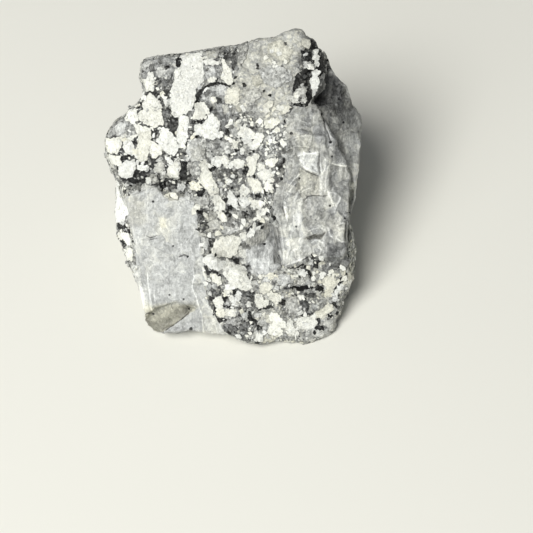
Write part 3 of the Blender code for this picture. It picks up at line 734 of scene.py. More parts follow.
        (328, 315, 334, 315, 333, 318, 328, 318), (280, 297, 285, 300, 285, 305, 279, 304, 281, 301),
        (257, 309, 270, 305, 274, 305, 274, 308, 258, 311),
        (355, 265, 358, 268, 359, 275, 357, 277, 355, 273),
        (306, 44, 309, 42, 309, 47, 306, 51, 303, 56, 312, 56, 312, 59, 307, 61, 303, 59, 303, 54),
        (311, 45, 318, 45, 320, 51, 328, 54, 326, 60, 323, 59, 321, 55, 318, 50, 312, 49),
        (318, 61, 324, 59, 325, 65, 322, 76, 319, 69, 316, 65),
        (304, 69, 312, 68, 311, 71, 304, 73, 303, 77, 307, 82, 303, 83, 299, 86, 296, 91, 293, 92, 295, 82,
         298, 74),
        (306, 96, 311, 95, 312, 99, 307, 106, 299, 107, 300, 105, 307, 102),
        (117, 222, 126, 224, 127, 228, 121, 230, 117, 227), (118, 240, 126, 241, 127, 247, 121, 247),
        (128, 228, 131, 229, 132, 234, 128, 237),
    ],
)
overPatches = dict(                          # small ones that lie on others
    white=[
        (270, 50, 273, 49, 274, 52, 271, 53), (277, 53, 281, 52, 282, 55, 278, 56),
        (264, 57, 267, 56, 268, 59, 265, 60), (284, 60, 287, 61, 286, 64, 283, 63),
        (272, 60, 275, 61, 276, 65, 273, 64), (289, 46, 292, 45, 292, 48, 290, 49),
        (278, 105, 284, 107, 283, 111, 277, 110), (264, 108, 268, 106, 270, 111, 266, 114),
        (295, 94, 299, 91, 301, 94, 298, 98, 295, 97), (301, 90, 304, 88, 305, 92, 302, 94),
        (148.5, 73, 153.5, 72, 154, 80, 148, 80), (175, 70, 179, 68, 181, 72, 178, 78, 175, 76),
        (211, 98, 215, 97, 216, 101, 212, 103), (226, 150, 229, 149, 230, 153, 227, 154),
        (229, 297, 233, 296, 234, 300, 230, 301), (247, 303, 250, 302, 251, 306, 248, 307),
        (203, 62, 208, 60, 215, 61, 219, 63, 214, 65, 206, 65),
        (208, 79, 213, 77, 217, 79, 214, 82, 209, 82),
    ],
    pale=[
        (262, 68, 274, 64, 286, 68, 288, 80, 276, 88, 264, 84),
        (246, 92, 258, 88, 262, 96, 254, 102, 246, 100),
        (157, 68, 163, 66, 166, 72, 164, 78, 158, 77, 156, 72),
        (216, 86, 224, 85, 228, 90, 225, 96, 218, 95), (190, 149, 199, 146, 205, 150, 203, 158, 194, 159),
        (140, 66, 146, 62, 152, 61, 149, 65, 143, 70), (114, 128, 120, 122, 127, 124, 125, 132, 118, 136),
        (208, 67, 214, 66, 216, 73, 211, 76, 207, 73),
    ],
    beige=[
        (268, 44, 280, 40, 292, 50, 288, 62, 276, 58, 268, 54), (252, 76, 262, 74, 262, 84, 254, 86),
        (151.5, 80, 157, 79, 158, 84, 152, 85), (206, 52, 214, 51, 216, 56, 208, 58),
        (222, 105, 228, 104, 229, 112, 223, 114),
    ],
    grey=[
        (240, 41, 246, 37, 248, 46, 245, 58, 241, 66, 238, 60), (259, 70, 266, 69, 269, 75, 262, 80),
        (284, 72, 291, 70, 292, 80, 286, 84), (246, 104, 254, 102, 258, 110, 250, 113),
    ],
    darkGrey=[
        (313, 78, 315, 79, 313.5, 84, 312, 83), (310, 89, 312.5, 90, 312, 93, 310, 92),
        (299, 97, 302, 98, 301, 101, 298, 101), (149, 66, 152, 64, 155, 65, 154, 71, 150, 72),
        (158, 61, 162, 60.5, 162, 64, 159, 64.5),
        (154, 76, 157, 79, 161, 81.5, 161, 83, 156, 81, 153.5, 78),
        (166, 80, 170, 78, 172, 74, 173, 75, 171, 80, 167, 83),
        (204, 92, 208, 89, 212, 92, 209, 96, 205, 97), (216, 97, 221, 98, 222, 103, 217, 104),
        (213, 143, 219, 144, 222, 148, 216, 149), (206, 70, 209, 66, 210, 68, 208, 74),
        (219, 116, 225, 115, 226, 119, 221, 120),
    ],
    black=[
        (256.5, 64, 258, 63, 259, 66, 258.5, 70, 256.5, 69), (242, 83, 245, 83, 246, 86, 243, 87.5),
        (284, 42.5, 286, 42.5, 286.5, 45, 284.5, 45.5), (269, 94, 271, 94, 271, 96, 269, 96),
        (262.5, 90, 265, 89.5, 265.5, 92, 263.5, 92.5), (281, 66, 283, 66.5, 283, 69, 281.5, 69.5),
        (176, 60, 178, 57.5, 181, 58.5, 181, 64, 178, 67, 176, 66),
        (164.5, 67, 166, 66.3, 167.5, 68, 166.5, 70, 164.8, 69.5), (208, 60, 211, 59, 212, 61, 209, 62),
        (192, 67, 193.5, 66.5, 194, 69.5, 192.5, 70),
    ],
)

# the finishes of the grains: lightness and its spread, warmth, mottling, roughness, lift in mm
kinds = dict(
    # lighter than white: painted light on patches that turn from the lamps
    snow=(0.985, 0.010, 0.30, 0.030, 0.85, 0.18),
    white=(0.945, 0.025, 0.30, 0.035, 0.85, 0.10),
    cream=(0.905, 0.030, 0.70, 0.060, 0.80, 0.10),
    beige=(0.760, 0.060, 0.60, 0.120, 0.50, 0.00),
    pale=(0.780, 0.050, 0.20, 0.160, 0.38, 0.04),
    grey=(0.660, 0.060, 0.15, 0.240, 0.34, 0.02),
    darkGrey=(0.430, 0.080, 0.15, 0.170, 0.40, 0.00),
    black=(0.210, 0.060, 0.10, 0.130, 0.50, -0.02),
)
kindNames = list(kinds)[1:]                  # the first, white with painted light, is for patches alone

# how the random grains are drawn: outline, shares of the kinds above in their order, grain size in mm,
# then the ground between them (lightness, contrast, warmth), and how much of it the grains cover
grainMixes = dict(
    upperLeft=((96, 100, 150, 80, 200, 90, 195, 165, 100, 170),
               (46, 5, 0, 14, 14, 11, 10), 0.75, (0.40, 1.0, 0.1), 1.0),
    # the crevice under the bulge: black grains, with dark ground that is partly painted shade
    crevice=((112, 168, 190, 160, 192, 196, 150, 186, 112, 190),
             (7, 0, 0, 22, 29, 23, 19), 0.74, (0.28, 1.1, 0.1), 1.0),
    middle=((195, 120, 290, 110, 280, 215, 195, 215),
            (34, 6, 0, 18, 22, 12, 8), 0.74, (0.54, 1.0, 0.1), 1.0),
    topBand=((130, 40, 245, 30, 240, 85, 130, 88), (7, 0, 4, 25, 38, 20, 6), 0.80, (0.54, 0.9, 0.2), 1.0),
    upperBlock=((237, 70, 242, 46, 246, 36, 270, 30, 288, 18, 310, 30, 305, 42, 302, 54, 297, 70, 293, 84,
                 292, 104, 286, 118, 276, 127, 262, 122, 250, 112, 238, 106, 226, 104, 230, 86),
                (4, 14, 36, 36, 7, 0, 3), 1.3, (0.72, 0.45, 0.45), 0.24),
    facet=((307, 41, 334, 38, 334, 90, 314, 108, 298, 108, 291, 101, 294, 88, 298, 75, 303, 62),
           (4, 0, 0, 7, 16, 33, 40), 0.60, (0.20, 0.9, 0.2), 0.8),
    lowerLeft=((222, 285, 262, 300, 262, 352, 222, 345),
               (22, 4, 0, 23, 29, 15, 7), 0.62, (0.58, 1.1, 0.1), 1.0),
    lowerRight=((255, 262, 366, 262, 366, 352, 255, 352),
                (22, 15, 7, 27, 22, 6, 1), 0.85, (0.66, 0.8, 0.3), 1.0),
    # white grains on the right flank, on ground made lighter as painted light where it turns from the lamps
    rightFlankPaintedLight=((350, 218, 374, 222, 374, 302, 350, 302, 346, 272, 350, 262),
                (62, 25, 4, 5, 2, 1, 1), 0.85, (0.96, 0.6, 0.4), 1.0),
    leftStrip=((108, 184, 132, 190, 146, 320, 130, 300, 112, 240),
               (38, 0, 0, 20, 20, 12, 10), 0.60, (0.50, 1.0, 0.2), 1.0),
)
hiddenMixes = dict(                          # the sides and the back come in clusters
    light=((70, 8, 4, 8, 6, 2, 2), 1.5, (0.62, 0.8, 0.2), 1.0),
    dark=((10, 2, 0, 10, 22, 26, 30), 0.9, (0.40, 1.0, 0.1), 1.0),
    mixed=((24, 6, 8, 24, 22, 10, 6), 1.2, (0.56, 0.9, 0.3), 1.0),
)
overPatch = dict(                            # grains on a patch: how often, and shares of the kinds
    snow=(0.0, (90, 5, 0, 3, 1, 0, 1)),
    white=(0.30, (90, 5, 0, 3, 1, 0, 1)),
    cream=(0.30, (24, 62, 8, 4, 1, 0, 1)),
    pale=(0.30, (12, 3, 4, 58, 16, 3, 4)),
    grey=(0.45, (7, 1, 3, 28, 34, 18, 9)),
    darkGrey=(0.65, (6, 2, 0, 10, 34, 32, 16)),
    black=(0.55, (4, 0, 0, 6, 16, 30, 44)),
)
batchOf = dict(snow="light_grains", white="light_grains", cream="light_grains", beige="grey_grains",
               pale="grey_grains", grey="grey_grains", darkGrey="dark_grains", black="dark_grains")

grainSet = dict(
    notch=1.5, ragged=0.75, swell=0.55,      # how the patches' outlines are broken up, in pixels
    facet=2.1, scatter=0.7, inset=0.8,       # the points on their tops: spacing, scatter, distance inside
    bump=0.10, sugar=0.05,                   # unevenness of their tops, in mm
    thick=0.7, over=0.11,                    # in mm; patches on patches stand higher by `over`
    tilt=0.40,                               # slope of the patches of white with painted light, which lean to the left
    wallShade=0.76, beigeWallShade=0.92,               # how much of its lightness a grain's side keeps under painted shade
    wallMatte=0.9,                           # and how rough it is
    clusters=((5.5, 1, 13.3), (2.2, 0.4, 4.9)),   # waves that sort the sides and the back
    lightOver=0.14, darkUnder=-0.24,         # into light, dark and mixed clusters
    mixBorder=((3.0, 5, 2.2),), mixFrom=-0.2,   # waves in the mixes' borders; how far round they go
    spacing=0.8,                             # between the random grains, in their mix's size
    spread=0.32, least=0.7, most=2.0,        # how unlike in size they are, and the limits of that
    onPatch=0.55, proud=0.03,                # the largest on a patch and how far they stand over it, in mm
    foot=6, footTop=285,                     # no grains round the slab's foot: reach and upper end, in pixels
    jointReach=2.2, jointOften=0.22, jointSize=0.6,   # dark grains along the patches
    jointShares=(2, 0, 0, 2, 12, 34, 50),
    rim=(-0.2, 0.32), rimPale=0.8,           # dark grains turn pale where the stone turns away
)

lumpSet = dict(                              # the shape of a random grain, mostly as spans to draw from
    corners=(4, 7),
    long=(0.42, 0.80), wide=(0.45, 0.95),    # half its length in its size, and half its width in that
    square=(0.3, 1.2),                       # 0 is a round outline and 1 a square one
    uneven=(0.62, 1.18), stray=0.3,          # how far out its corners lie, and how far they stray aside
    middle=0.4, lean=0.10,                   # how far off the middle its ridge is, and how much it leans
    ridge=0.09, thick=(0.45, 0.3),           # in mm; the thickness has a part for each mm of its size
)


class Ground:
    # the stone's even surface, on which the grains are set
    def __init__(self, mesh, co, soft, cleaved):
        self.co, self.soft, self.cleaved = co, soft, cleaved
        self.faces = [tuple(p.vertices) for p in mesh.polygons]
        self.tree = BVHTree.FromPolygons(co.tolist(), self.faces)

    def read(self, found):
        where, _, index, _ = found
        normal = self.soft[list(self.faces[index])].mean(0)
        return np.array(where), normal / np.linalg.norm(normal)

    def seen(self, x, y):
        # where the camera meets the stone through a pixel
        found = self.tree.ray_cast(Vector(cameraPlace), towardsPixel(x, y))
        return self.read(found) if found[0] is not None else None

    def near(self, place, along):
        # the stone's point above or below a place, up to 2.5 mm off
        found = self.tree.ray_cast(Vector(place + along * 2.5 * mm), Vector(-along), 5 * mm)
        return self.read(found if found[0] is not None else self.tree.find_nearest(Vector(place)))


def addBlock(batch, top, faces, down, looks, edge=0.0):
    # a closed block from its top side: the same faces again below it, and walls between, a little darker with
    # painted shade
    start, count = len(batch["points"]), len(top)
    batch["points"] += top.tolist() + (top + down).tolist()
    around = [(f[i - 1], f[i]) for f in faces for i in range(len(f))]
    twice = set(around)
    rim = [(a, b) for a, b in around if (b, a) not in twice]
    onRim = {a for a, _ in rim}
    batch["faces"] += [[start + i for i in f] for f in faces]
    batch["faces"] += [[start + count + i for i in reversed(f)] for f in faces]
    batch["faces"] += [[start + a, start + count + a, start + count + b, start + b] for a, b in rim]
    tone, warm, mottle, matte, wallShade = looks
    for f in faces:
        batch["looks"].append((tone - edge * any(i in onRim for i in f), warm, mottle, matte))
    # the walls take painted shade
    batch["looks"] += [(tone * wallShade, warm, mottle, grainSet["wallMatte"])] * (len(faces) + len(rim))


def looksOf(kind, chance):
    light, spread, warm, mottle, matte, _ = kinds[kind]
    tone = light + chance.uniform(-1, 1) * spread
    wallShade = grainSet["beigeWallShade" if kind == "beige" else "wallShade"]
    return tone, warm + chance.uniform(-0.15, 0.25), mottle, matte, wallShade


def liftOf(kind):
    return kinds[kind][5]


def addGrain(batch, place, normal, size, kind, lift, chance):
    # a broken lump: an uneven outline, more or less square, round a low ridge
    looks = looksOf(kind, chance)
    count = chance.randint(*lumpSet["corners"])
    long = size * chance.uniform(*lumpSet["long"])
    wide = long * chance.uniform(*lumpSet["wide"])
    square, turn = chance.uniform(*lumpSet["square"]), chance.uniform(0, 2 * math.pi)
    stray, middle, thick = lumpSet["stray"], lumpSet["middle"], lumpSet["thick"]
    flat = []
    for k in range(count):
        angle = (k + chance.uniform(-stray, stray)) * 2 * math.pi / count
        corner = 1 / max(abs(math.cos(angle)), abs(math.sin(angle))) - 1
        far = (1 + square * corner) * chance.uniform(*lumpSet["uneven"])
        flat.append((math.cos(angle) * long * far, math.sin(angle) * wide * far))
    flat.append((chance.uniform(-middle, middle) * long, chance.uniform(-middle, middle) * wide))
    turned = np.array([[math.cos(turn), math.sin(turn)], [-math.sin(turn), math.cos(turn)]])
    flat = np.array(flat) @ turned
    side = np.cross(normal, (0.3, 0.9, 0.31))
    side /= np.linalg.norm(side)
    other = np.cross(normal, side)
    tilt = [chance.gauss(0, lumpSet["lean"]) for _ in range(2)]
    height = lift + flat[:, 0] * tilt[0] + flat[:, 1] * tilt[1]
    height[-1] += min(size, 1.0) * chance.uniform(0.0, lumpSet["ridge"])
    top = place + (flat[:, :1] * side + flat[:, 1:] * other + height[:, None] * normal) * mm
    fan = [[k, (k + 1) % count, count] for k in range(count)]
    addBlock(batch, top, fan, -normal * (thick[0] + size * thick[1]) * mm, looks)


def brokenOutline(outline, swell, chance):
    # the outline with uneven points all along its sides, pushed in and out
    sides = sidesOf(outline)
    out = 1 if sum(ax * by - bx * ay for (ax, ay), (bx, by) in sides) > 0 else -1
    around = sum(math.dist(a, b) for a, b in sides)
    notch = grainSet["notch"] * min(1.0, 0.6 + around / 150)   # finer on a small patch
    ragged, wave = [], 0.0
    for (ax, ay), (bx, by) in sides:
        length = math.hypot(bx - ax, by - ay)
        steps = max(1, round(length / notch))
        for i in range(steps):
            t = (i + (chance.uniform(-0.3, 0.3) if i else 0)) / steps
            wave = wave * 0.6 + chance.uniform(-0.5, 0.5)
            push = (swell + wave + chance.uniform(-1, 1) * grainSet["ragged"]) * out
            ragged.append((ax + (bx - ax) * t + (by - ay) / length * push,
                           ay + (by - ay) * t - (bx - ax) / length * push))
    return ragged


def facetsWithin(ragged, chance):
    # uneven points inside an outline, and triangles between all of them
    xs, ys = (np.arange(low + 1, high, grainSet["facet"])
              for low, high in zip(np.min(ragged, axis=0), np.max(ragged, axis=0)))
    scatter = grainSet["scatter"]
    inner = [(x + chance.uniform(-scatter, scatter), y + chance.uniform(-scatter, scatter))
             for x in xs for y in ys]
    if inner:
        deep = insideBy(*np.array(inner).T, ragged)
        inner = [p for p, d in zip(inner, deep) if d > grainSet["inset"]]
    spots = [Vector((x, -y)) for x, y in ragged + inner]
    flat, _, faces, *_ = geometry.delaunay_2d_cdt(spots, [], [list(range(len(ragged)))], 1, 1e-5)
    return flat, [list(f) for f in faces]


def addPatch(batch, ground, outline, kind, chance, over=0.0):
    # a patch read from the picture: its outline made ragged, its top laid over the stone
    looks = looksOf(kind, chance)
    lift = liftOf(kind)
    lift += over + chance.uniform(-0.04, 0.05)
    hit = ground.seen(*np.mean(outline, axis=0))
    if hit is None:
        return
    centre, normal = hit
    view = cameraPlace - centre
    view /= np.linalg.norm(view)
    lean = normal + view * (1.2 - 1.2 * smooth(0.15, 0.6, normal @ view))   # steep patches face forward
    lean /= np.linalg.norm(lean)
    swell = grainSet["swell"] if kind in ("white", "cream") else 0.0
    flat, faces = facetsWithin(brokenOutline(outline, swell, chance), chance)
    top = []
    for x, y in flat:
        ray = np.array(towardsPixel(x, -y))
        place = cameraPlace + ray * ((centre - cameraPlace) @ lean) / (ray @ lean)
        where, up = ground.near(place, lean)
        bump = noise.noise(Vector(where) / (1.1 * mm)) * grainSet["bump"]
        bump += chance.uniform(-1, 1) * grainSet["sugar"]
        if kind == "snow":
            bump += (where - centre)[0] / mm * grainSet["tilt"]
        top.append(where + up * (lift + bump) * mm)
    addBlock(batch, np.array(top), faces, -lean * grainSet["thick"] * mm, looks, chance.uniform(0.0, 0.06))


def outlinesOf(groups):
    return [(kind, pairs(flat)) for kind, flats in groups.items() for flat in flats]


def mixesAt(co, face):
    # the list of mixes, and the number of its mix for every point
    px, py = picturePlaces(co)
    mixes = [m[1:] for m in grainMixes.values()] + list(hiddenMixes.values())
    cluster = wavesAt(co, grainSet["clusters"])
    dark = cluster < grainSet["darkUnder"]
    hidden = np.where(cluster > grainSet["lightOver"], 0, np.where(dark, 1, 2))   # as in hiddenMixes
    mix = len(grainMixes) + hidden
    wobble = wavesAt(co, grainSet["mixBorder"])
    for i, (outline, *_) in enumerate(grainMixes.values()):
        mix[(insideBy(px, py, pairs(outline)) + wobble > 0) & (face > grainSet["mixFrom"])] = i
    return mixes, mix


def sowGrains(batches, ground, outlines, chance):
    co = ground.co
    face = facing(co, ground.soft)
    px, py = picturePlaces(co)
    mixes, mix = mixesAt(co, face)
    sizes = np.array([m[1] for m in mixes])[mix]
    foot = (insideBy(px, py, pairs(cleavedZones["slab"])) > -grainSet["foot"]) & (abs(face) < 0.35)
    allowed = (ground.cleaved < 0.05) & (co[:, 2] > 1.0 * mm) & ~(foot & (py > grainSet["footTop"]))
    seeds = spreadOver(co / mm, sizes * grainSet["spacing"], chance, allowed)

    depth = np.full(len(seeds), -99.0)       # how deep each lies in the patch that it is on or nearest to
    owner = np.full(len(seeds), -1)
    for i, (_, outline) in enumerate(outlines):
        inside = np.where(face[seeds] > 0.03, insideBy(px[seeds], py[seeds], outline), -99)
        owner = np.where(inside > depth, i, owner)
        depth = np.maximum(depth, inside)

    low, high = grainSet["rim"]
    rim = (face > low) & (face < high) & (mix != list(grainMixes).index("facet"))
    inJoint = (depth > -grainSet["jointReach"]) & (face[seeds] > 0.3)
    made = 0
    for seed, inside, patch, joint in zip(seeds, depth, owner, inJoint):
        shares, size, _, cover = mixes[mix[seed]]
        floor = 0.0
        if inside > 0:
            under = outlines[patch][0]
            often, shares = overPatch[under]
            size = min(size, grainSet["onPatch"])
            if chance.random() > often or inside < 1:
                continue
            floor = liftOf(under) + grainSet["proud"]
        elif chance.random() > cover:
            continue
        elif joint and chance.random() < grainSet["jointOften"]:
            shares, size = grainSet["jointShares"], min(size, grainSet["jointSize"])
        kind = chance.choices(kindNames, shares)[0]
        if kind in ("darkGrey", "black") and rim[seed] and chance.random() < grainSet["rimPale"]:
            kind = "pale"
        lift = floor + chance.uniform(-0.05, 0.06)
        lift += liftOf(kind) if inside <= 0 else chance.uniform(0, 0.04)
        size *= min(grainSet["most"], max(grainSet["least"], math.exp(chance.gauss(0, grainSet["spread"]))))
        addGrain(batches[batchOf[kind]], co[seed], ground.soft[seed], size, kind, lift, chance)
        made += 1
    print("patches", len(outlines), "grains", made)


def report(name, mesh):
    mesh.calc_loop_triangles()
    print(name, len(mesh.loop_triangles), "triangles")


def makeGrains(ground, chance):
    batches = {name: dict(points=[], faces=[], looks=[]) for name in batchOf.values()}
    outlines = outlinesOf(patches)
    for kind, outline in outlines:
        addPatch(batches[batchOf[kind]], ground, outline, kind, chance)
    for kind, outline in outlinesOf(overPatches):
        addPatch(batches[batchOf[kind]], ground, outline, kind, chance, grainSet["over"])
    sowGrains(batches, ground, outlines, chance)
    pieces = []
    for name, batch in batches.items():
        mesh = bpy.data.meshes.new(name)
        mesh.from_pydata(withinBox(np.array(batch["points"])).tolist(), [], batch["faces"])
        for i, look in enumerate(("tone", "warm", "mottle", "matte")):
            store(mesh, look, [values[i] for values in batch["looks"]], "FACE")
        report(name, mesh)
        pieces.append(added(name, mesh))
    return pieces


def rising(distance, height, start, full):
    return smooth(start, full, distance) * height


def heightsOf(co, cleaved, crystal, cells):
    # how far the surface stands out of the even mesh, in mm
    rock = wavesAt(co, stoneSet["grit"]) - stoneSet["sunk"]
    steps = (cells["rise"] * crystalSet["rise"] + cells["lean"] * crystalSet["lean"]) * crystal["broken"]
    glass = crystal["lift"] + steps + wavesAt(co, stoneSet["ripple"])
    ridge, crack, dent = (rising(crystal[line], *stoneSet[name]) for line, name in
                          (("brightLine", "ridge"), ("darkLine", "crack"), ("speck", "dent")))
    glass += ridge - crack
    glass += wavesAt(co, stoneSet["sugarWaves"]) * stoneSet["sugar"] * (0.4 + crystal["broken"])
    share = smooth(*stoneSet["rockFrom"], cleaved)
    height = rock * share + glass * (1 - share) - dent
    return height * smooth(*stoneSet["baseTo"], co[:, 2] / mm)


def groundLooks(co, edges, face):
    # lightness, contrast and warmth of the ground between the grains
    mixes, mix = mixesAt(co, face)
    looks = relax(np.array([m[2] for m in mixes])[mix], edges, np.ones(len(co)), 2)
    # lighter ground where the stone turns from the camera: painted light that lifts its shaded edge
    turned = smooth(0.45, 0.15, face) * smooth(-0.5, -0.2, face) * stoneSet["turnedShare"]
    looks = looks + (np.array(stoneSet["turnedGroundPaintedLight"]) - looks) * turned[:, None]
    return dict(zip(("ground", "contrast", "groundWarm"), looks.T))


def makeStone():
    chance = random.Random(stoneSet["seed"])
    piece, tree = evenMesh()
    refine(piece)
    mesh = piece.data
    co, edges = arraysOf(mesh)
    print("stone mesh", len(co), "points")
    cleaved = cleavedBy(co, facing(co, normalsOf(mesh, co)))
    snapped = np.array([tree.find_nearest(Vector(p))[0] for p in co])
    co = pushTip(co + (snapped - co) * smooth(*stoneSet["snap"], cleaved)[:, None])
    soft = normalsOf(mesh, relax(co, edges, np.ones(len(co)), stoneSet["soften"]))
    face = facing(co, soft)
    cells = crystalCells(co, cleaved, chance)
    crystal = crystalFields(co, face)
    grains = makeGrains(Ground(mesh, co, soft, cleaved), chance)

    height = heightsOf(co, cleaved, crystal, cells)
    co = withinBox(co + soft * (height * mm)[:, None])
    putBack(mesh, co)
    tone = crystal["tone"] + cells["tone"] * crystalSet["tone"] * crystal["broken"]
    looks = dict(cleaved=cleaved, tone=tone, cellSeam=cells["seam"], **groundLooks(co, edges, face))
    for name in ("warm", "broken", "striped", "brightLine", "darkLine", "speck"):
        looks[name] = crystal[name]
    for name, values in looks.items():
        store(mesh, name, values)
    mesh.polygons.foreach_set("use_smooth", np.ones(len(mesh.polygons), bool))
    report("stone", mesh)
    return piece, grains


class Sock:
    # a node's output that takes part in Python expressions
    def __init__(self, finish, socket):
        self.finish, self.socket = finish, socket

    def maths(self, operation, a, b):
        return self.finish.node("ShaderNodeMath", dict(operation=operation), {0: a, 1: b})

    def __add__(self, other):
        return self.maths("ADD", self, other)

    def __radd__(self, other):
        return self.maths("ADD", other, self)

    def __sub__(self, other):
        return self.maths("SUBTRACT", self, other)

    def __rsub__(self, other):
        return self.maths("SUBTRACT", other, self)

    def __mul__(self, other):
        return self.maths("MULTIPLY", self, other)

    def __rmul__(self, other):
        return self.maths("MULTIPLY", other, self)

    def __pow__(self, other):
        return self.maths("POWER", self, other)

    def __rpow__(self, other):
        return self.maths("POWER", other, self)

    def __abs__(self):
        return self.maths("ABSOLUTE", self, 0.0)


def rgb(r, g, b):
    return (r, g, b, 1.0)


finishSet = dict(
    cool=rgb(0.965, 0.985, 0.955), warm=rgb(0.985, 0.965, 0.80),   # the ends of the scale of warmth
    grainShine=0.2, crystalShine=0.5,
    depth=0.35, reach=1.2,                   # light that goes a little way into the crystal: share, and mm
)


class Finish:
    # a material; sizes of patterns are in mm
    def __init__(self, name):
        self.material = bpy.data.materials.new(name)
        self.material.use_nodes = True
        self.tree = self.material.node_tree
        self.tree.nodes.clear()

    def node(self, kind, settings=None, sockets=None, out=0):
        made = self.tree.nodes.new(kind)
        for key, value in (settings or {}).items():
            setattr(made, key, value)
        for key, value in (sockets or {}).items():
            if isinstance(value, Sock):
                self.tree.links.new(value.socket, made.inputs[key])
            else:
                made.inputs[key].default_value = value
        return Sock(self, made.outputs[out])

    def attribute(self, name):
        return self.node("ShaderNodeAttribute", dict(attribute_name=name), out="Fac")

    def place(self):
        return self.node("ShaderNodeTexCoord", out="Object")

    def noise(self, vector, size, detail=3, rough=0.55, swirl=0.0):
        # the value stays near 0..1
        return self.node("ShaderNodeTexNoise", dict(noise_dimensions="3D"),
                         {"Vector": vector, "Scale": 1 / (size * mm), "Detail": detail,
                          "Roughness": rough, "Distortion": swirl}, out="Fac")

    def also(self, made, name):
        # another output of the node that made a value
        return Sock(self, made.socket.node.outputs[name])

    def vector(self, operation, a, b, c=(0, 0, 0)):
        return self.node("ShaderNodeVectorMath", dict(operation=operation), {0: a, 1: b, 2: c})

    def fromMiddle(self, colour):
        return self.vector("SUBTRACT", colour, (0.5, 0.5, 0.5))

    def warp(self, vector, size, reach):
        # places pushed about by a noise, so that what is drawn there has uneven borders
        push = self.fromMiddle(self.also(self.noise(vector, size, 2), "Color"))
        return self.vector("MULTIPLY_ADD", push, (reach * mm,) * 3, vector)

    def drawnOut(self, vector, sway, stretch):
        # places for patterns that run along the crystal's cleavage
        return self.node("ShaderNodeMapping", dict(vector_type="TEXTURE"),
                         {"Vector": self.warp(vector, 4.5, sway), "Rotation": crystalTurn.to_euler(),
                          "Scale": (1.0, stretch, 1.0)})

    def chips(self, vector, size):
        # small planes with sharp borders: a value near 0 for each, and the height of its own lean in metres
        cell = self.node("ShaderNodeTexVoronoi", dict(voronoi_dimensions="3D"),
                         {"Vector": vector, "Scale": 1 / (size * mm)}, out="Color")
        slope = self.fromMiddle(cell)
        away = self.vector("SUBTRACT", vector, self.also(cell, "Position"))
        height = self.also(self.vector("DOT_PRODUCT", away, slope), "Value")
        return self.node("ShaderNodeSeparateXYZ", None, {0: slope}), height

    def step(self, value, low, high, a=0.0, b=1.0):
        # from a to b where the value goes from low to high
        return self.node("ShaderNodeMapRange", dict(interpolation_type="SMOOTHSTEP"),
                         {"Value": value, "From Min": low, "From Max": high, "To Min": a, "To Max": b})

    def mix(self, share, a, b, blend="MIX"):
        return self.node("ShaderNodeMix", dict(data_type="RGBA", blend_type=blend),
                         {0: share, 6: a, 7: b}, out=2)

    def shade(self, tone, warm):
        # a stone colour from its lightness as the eye sees it and how warm it is
        tone = self.node("ShaderNodeClamp", None, {"Value": tone, "Min": 0.1, "Max": 1.0}) ** 2.2
        grey = self.node("ShaderNodeCombineColor", None, {0: tone, 1: tone, 2: tone})
        return self.mix(1.0, self.mix(warm, finishSet["cool"], finishSet["warm"]), grey, "MULTIPLY")

    def bump(self, height, strength):
        # the height is in mm
        return self.node("ShaderNodeBump", None, {"Height": height, "Strength": strength, "Distance": mm})

    def principled(self, **sockets):
        return self.node("ShaderNodeBsdfPrincipled", None,
                         {name.replace("_", " "): value for name, value in sockets.items()})

    def output(self, shader):
        self.tree.links.new(shader.socket, self.tree.nodes.new("ShaderNodeOutputMaterial").inputs["Surface"])
        return self.material


patternSet = dict(                           # sizes of the materials' patterns, in mm
    cloud=1.0, fine=0.32, wide=3.0, chip=0.62, tinyChip=0.34, crack=1.5, pit=0.42, ragged=0.45,
    veil=2.4, streak=0.42, plane=1.8, sliver=0.45, flake=0.30,
)
grainLook = dict(
    cloud=1.8, fine=1.4, chip=0.9, tinyChip=0.6,   # lightness: shares in the mottling
    crack=0.13, pit=0.10,                    # how much darker the cracks and pits are
    tint=0.6,                                # how much the clouds change the warmth
    chipRise=520, tinyRise=300, fineRise=0.10, cut=0.06,   # relief; `cut` is how deep the cracks and pits are
)


def grainFinish():
    f, look, size = Finish("fluorite_grain_finish"), grainLook, patternSet
    at = f.place()
    uneven = f.warp(at, 0.5, 0.35)
    cloud, fine = f.noise(at, size["cloud"], 4, 0.6, 0.6), f.noise(at, size["fine"], 3, 0.6)
    small, smallLean = f.chips(uneven, size["chip"])
    tiny, tinyLean = f.chips(uneven, size["tinyChip"])
    crack = f.step(abs(f.noise(at, size["crack"], 3, 0.6, 0.8) - 0.5), 0.0, 0.016, 1.0, 0.0)
    crack = crack * f.step(cloud, 0.42, 0.55)
    pit = f.step(f.noise(uneven, size["pit"], 1), 0.70, 0.75)
    mottle = ((cloud - 0.5) * look["cloud"] + (fine - 0.5) * look["fine"]
              + small * look["chip"] + tiny * look["tinyChip"])
    tone = f.attribute("tone") + mottle * f.attribute("mottle")
    colour = f.shade(tone - crack * look["crack"] - pit * look["pit"],
                     f.attribute("warm") + (cloud - 0.5) * look["tint"])
    relief = (smallLean * look["chipRise"] + tinyLean * look["tinyRise"]
              + (fine - 0.5) * look["fineRise"] - (crack + pit) * look["cut"])
    return f.output(f.principled(Base_Color=colour, Roughness=f.attribute("matte"), IOR=1.5,
                                 Specular_IOR_Level=finishSet["grainShine"], Normal=f.bump(relief, 0.8)))


groundLook = dict(
    cloud=0.8, chip=0.26, tinyChip=0.20, wide=0.55, speck=0.4,   # shares in the lightness
    tint=0.6,                                # how much the chips change the warmth
    chipRise=700, fineRise=0.16,             # relief
)


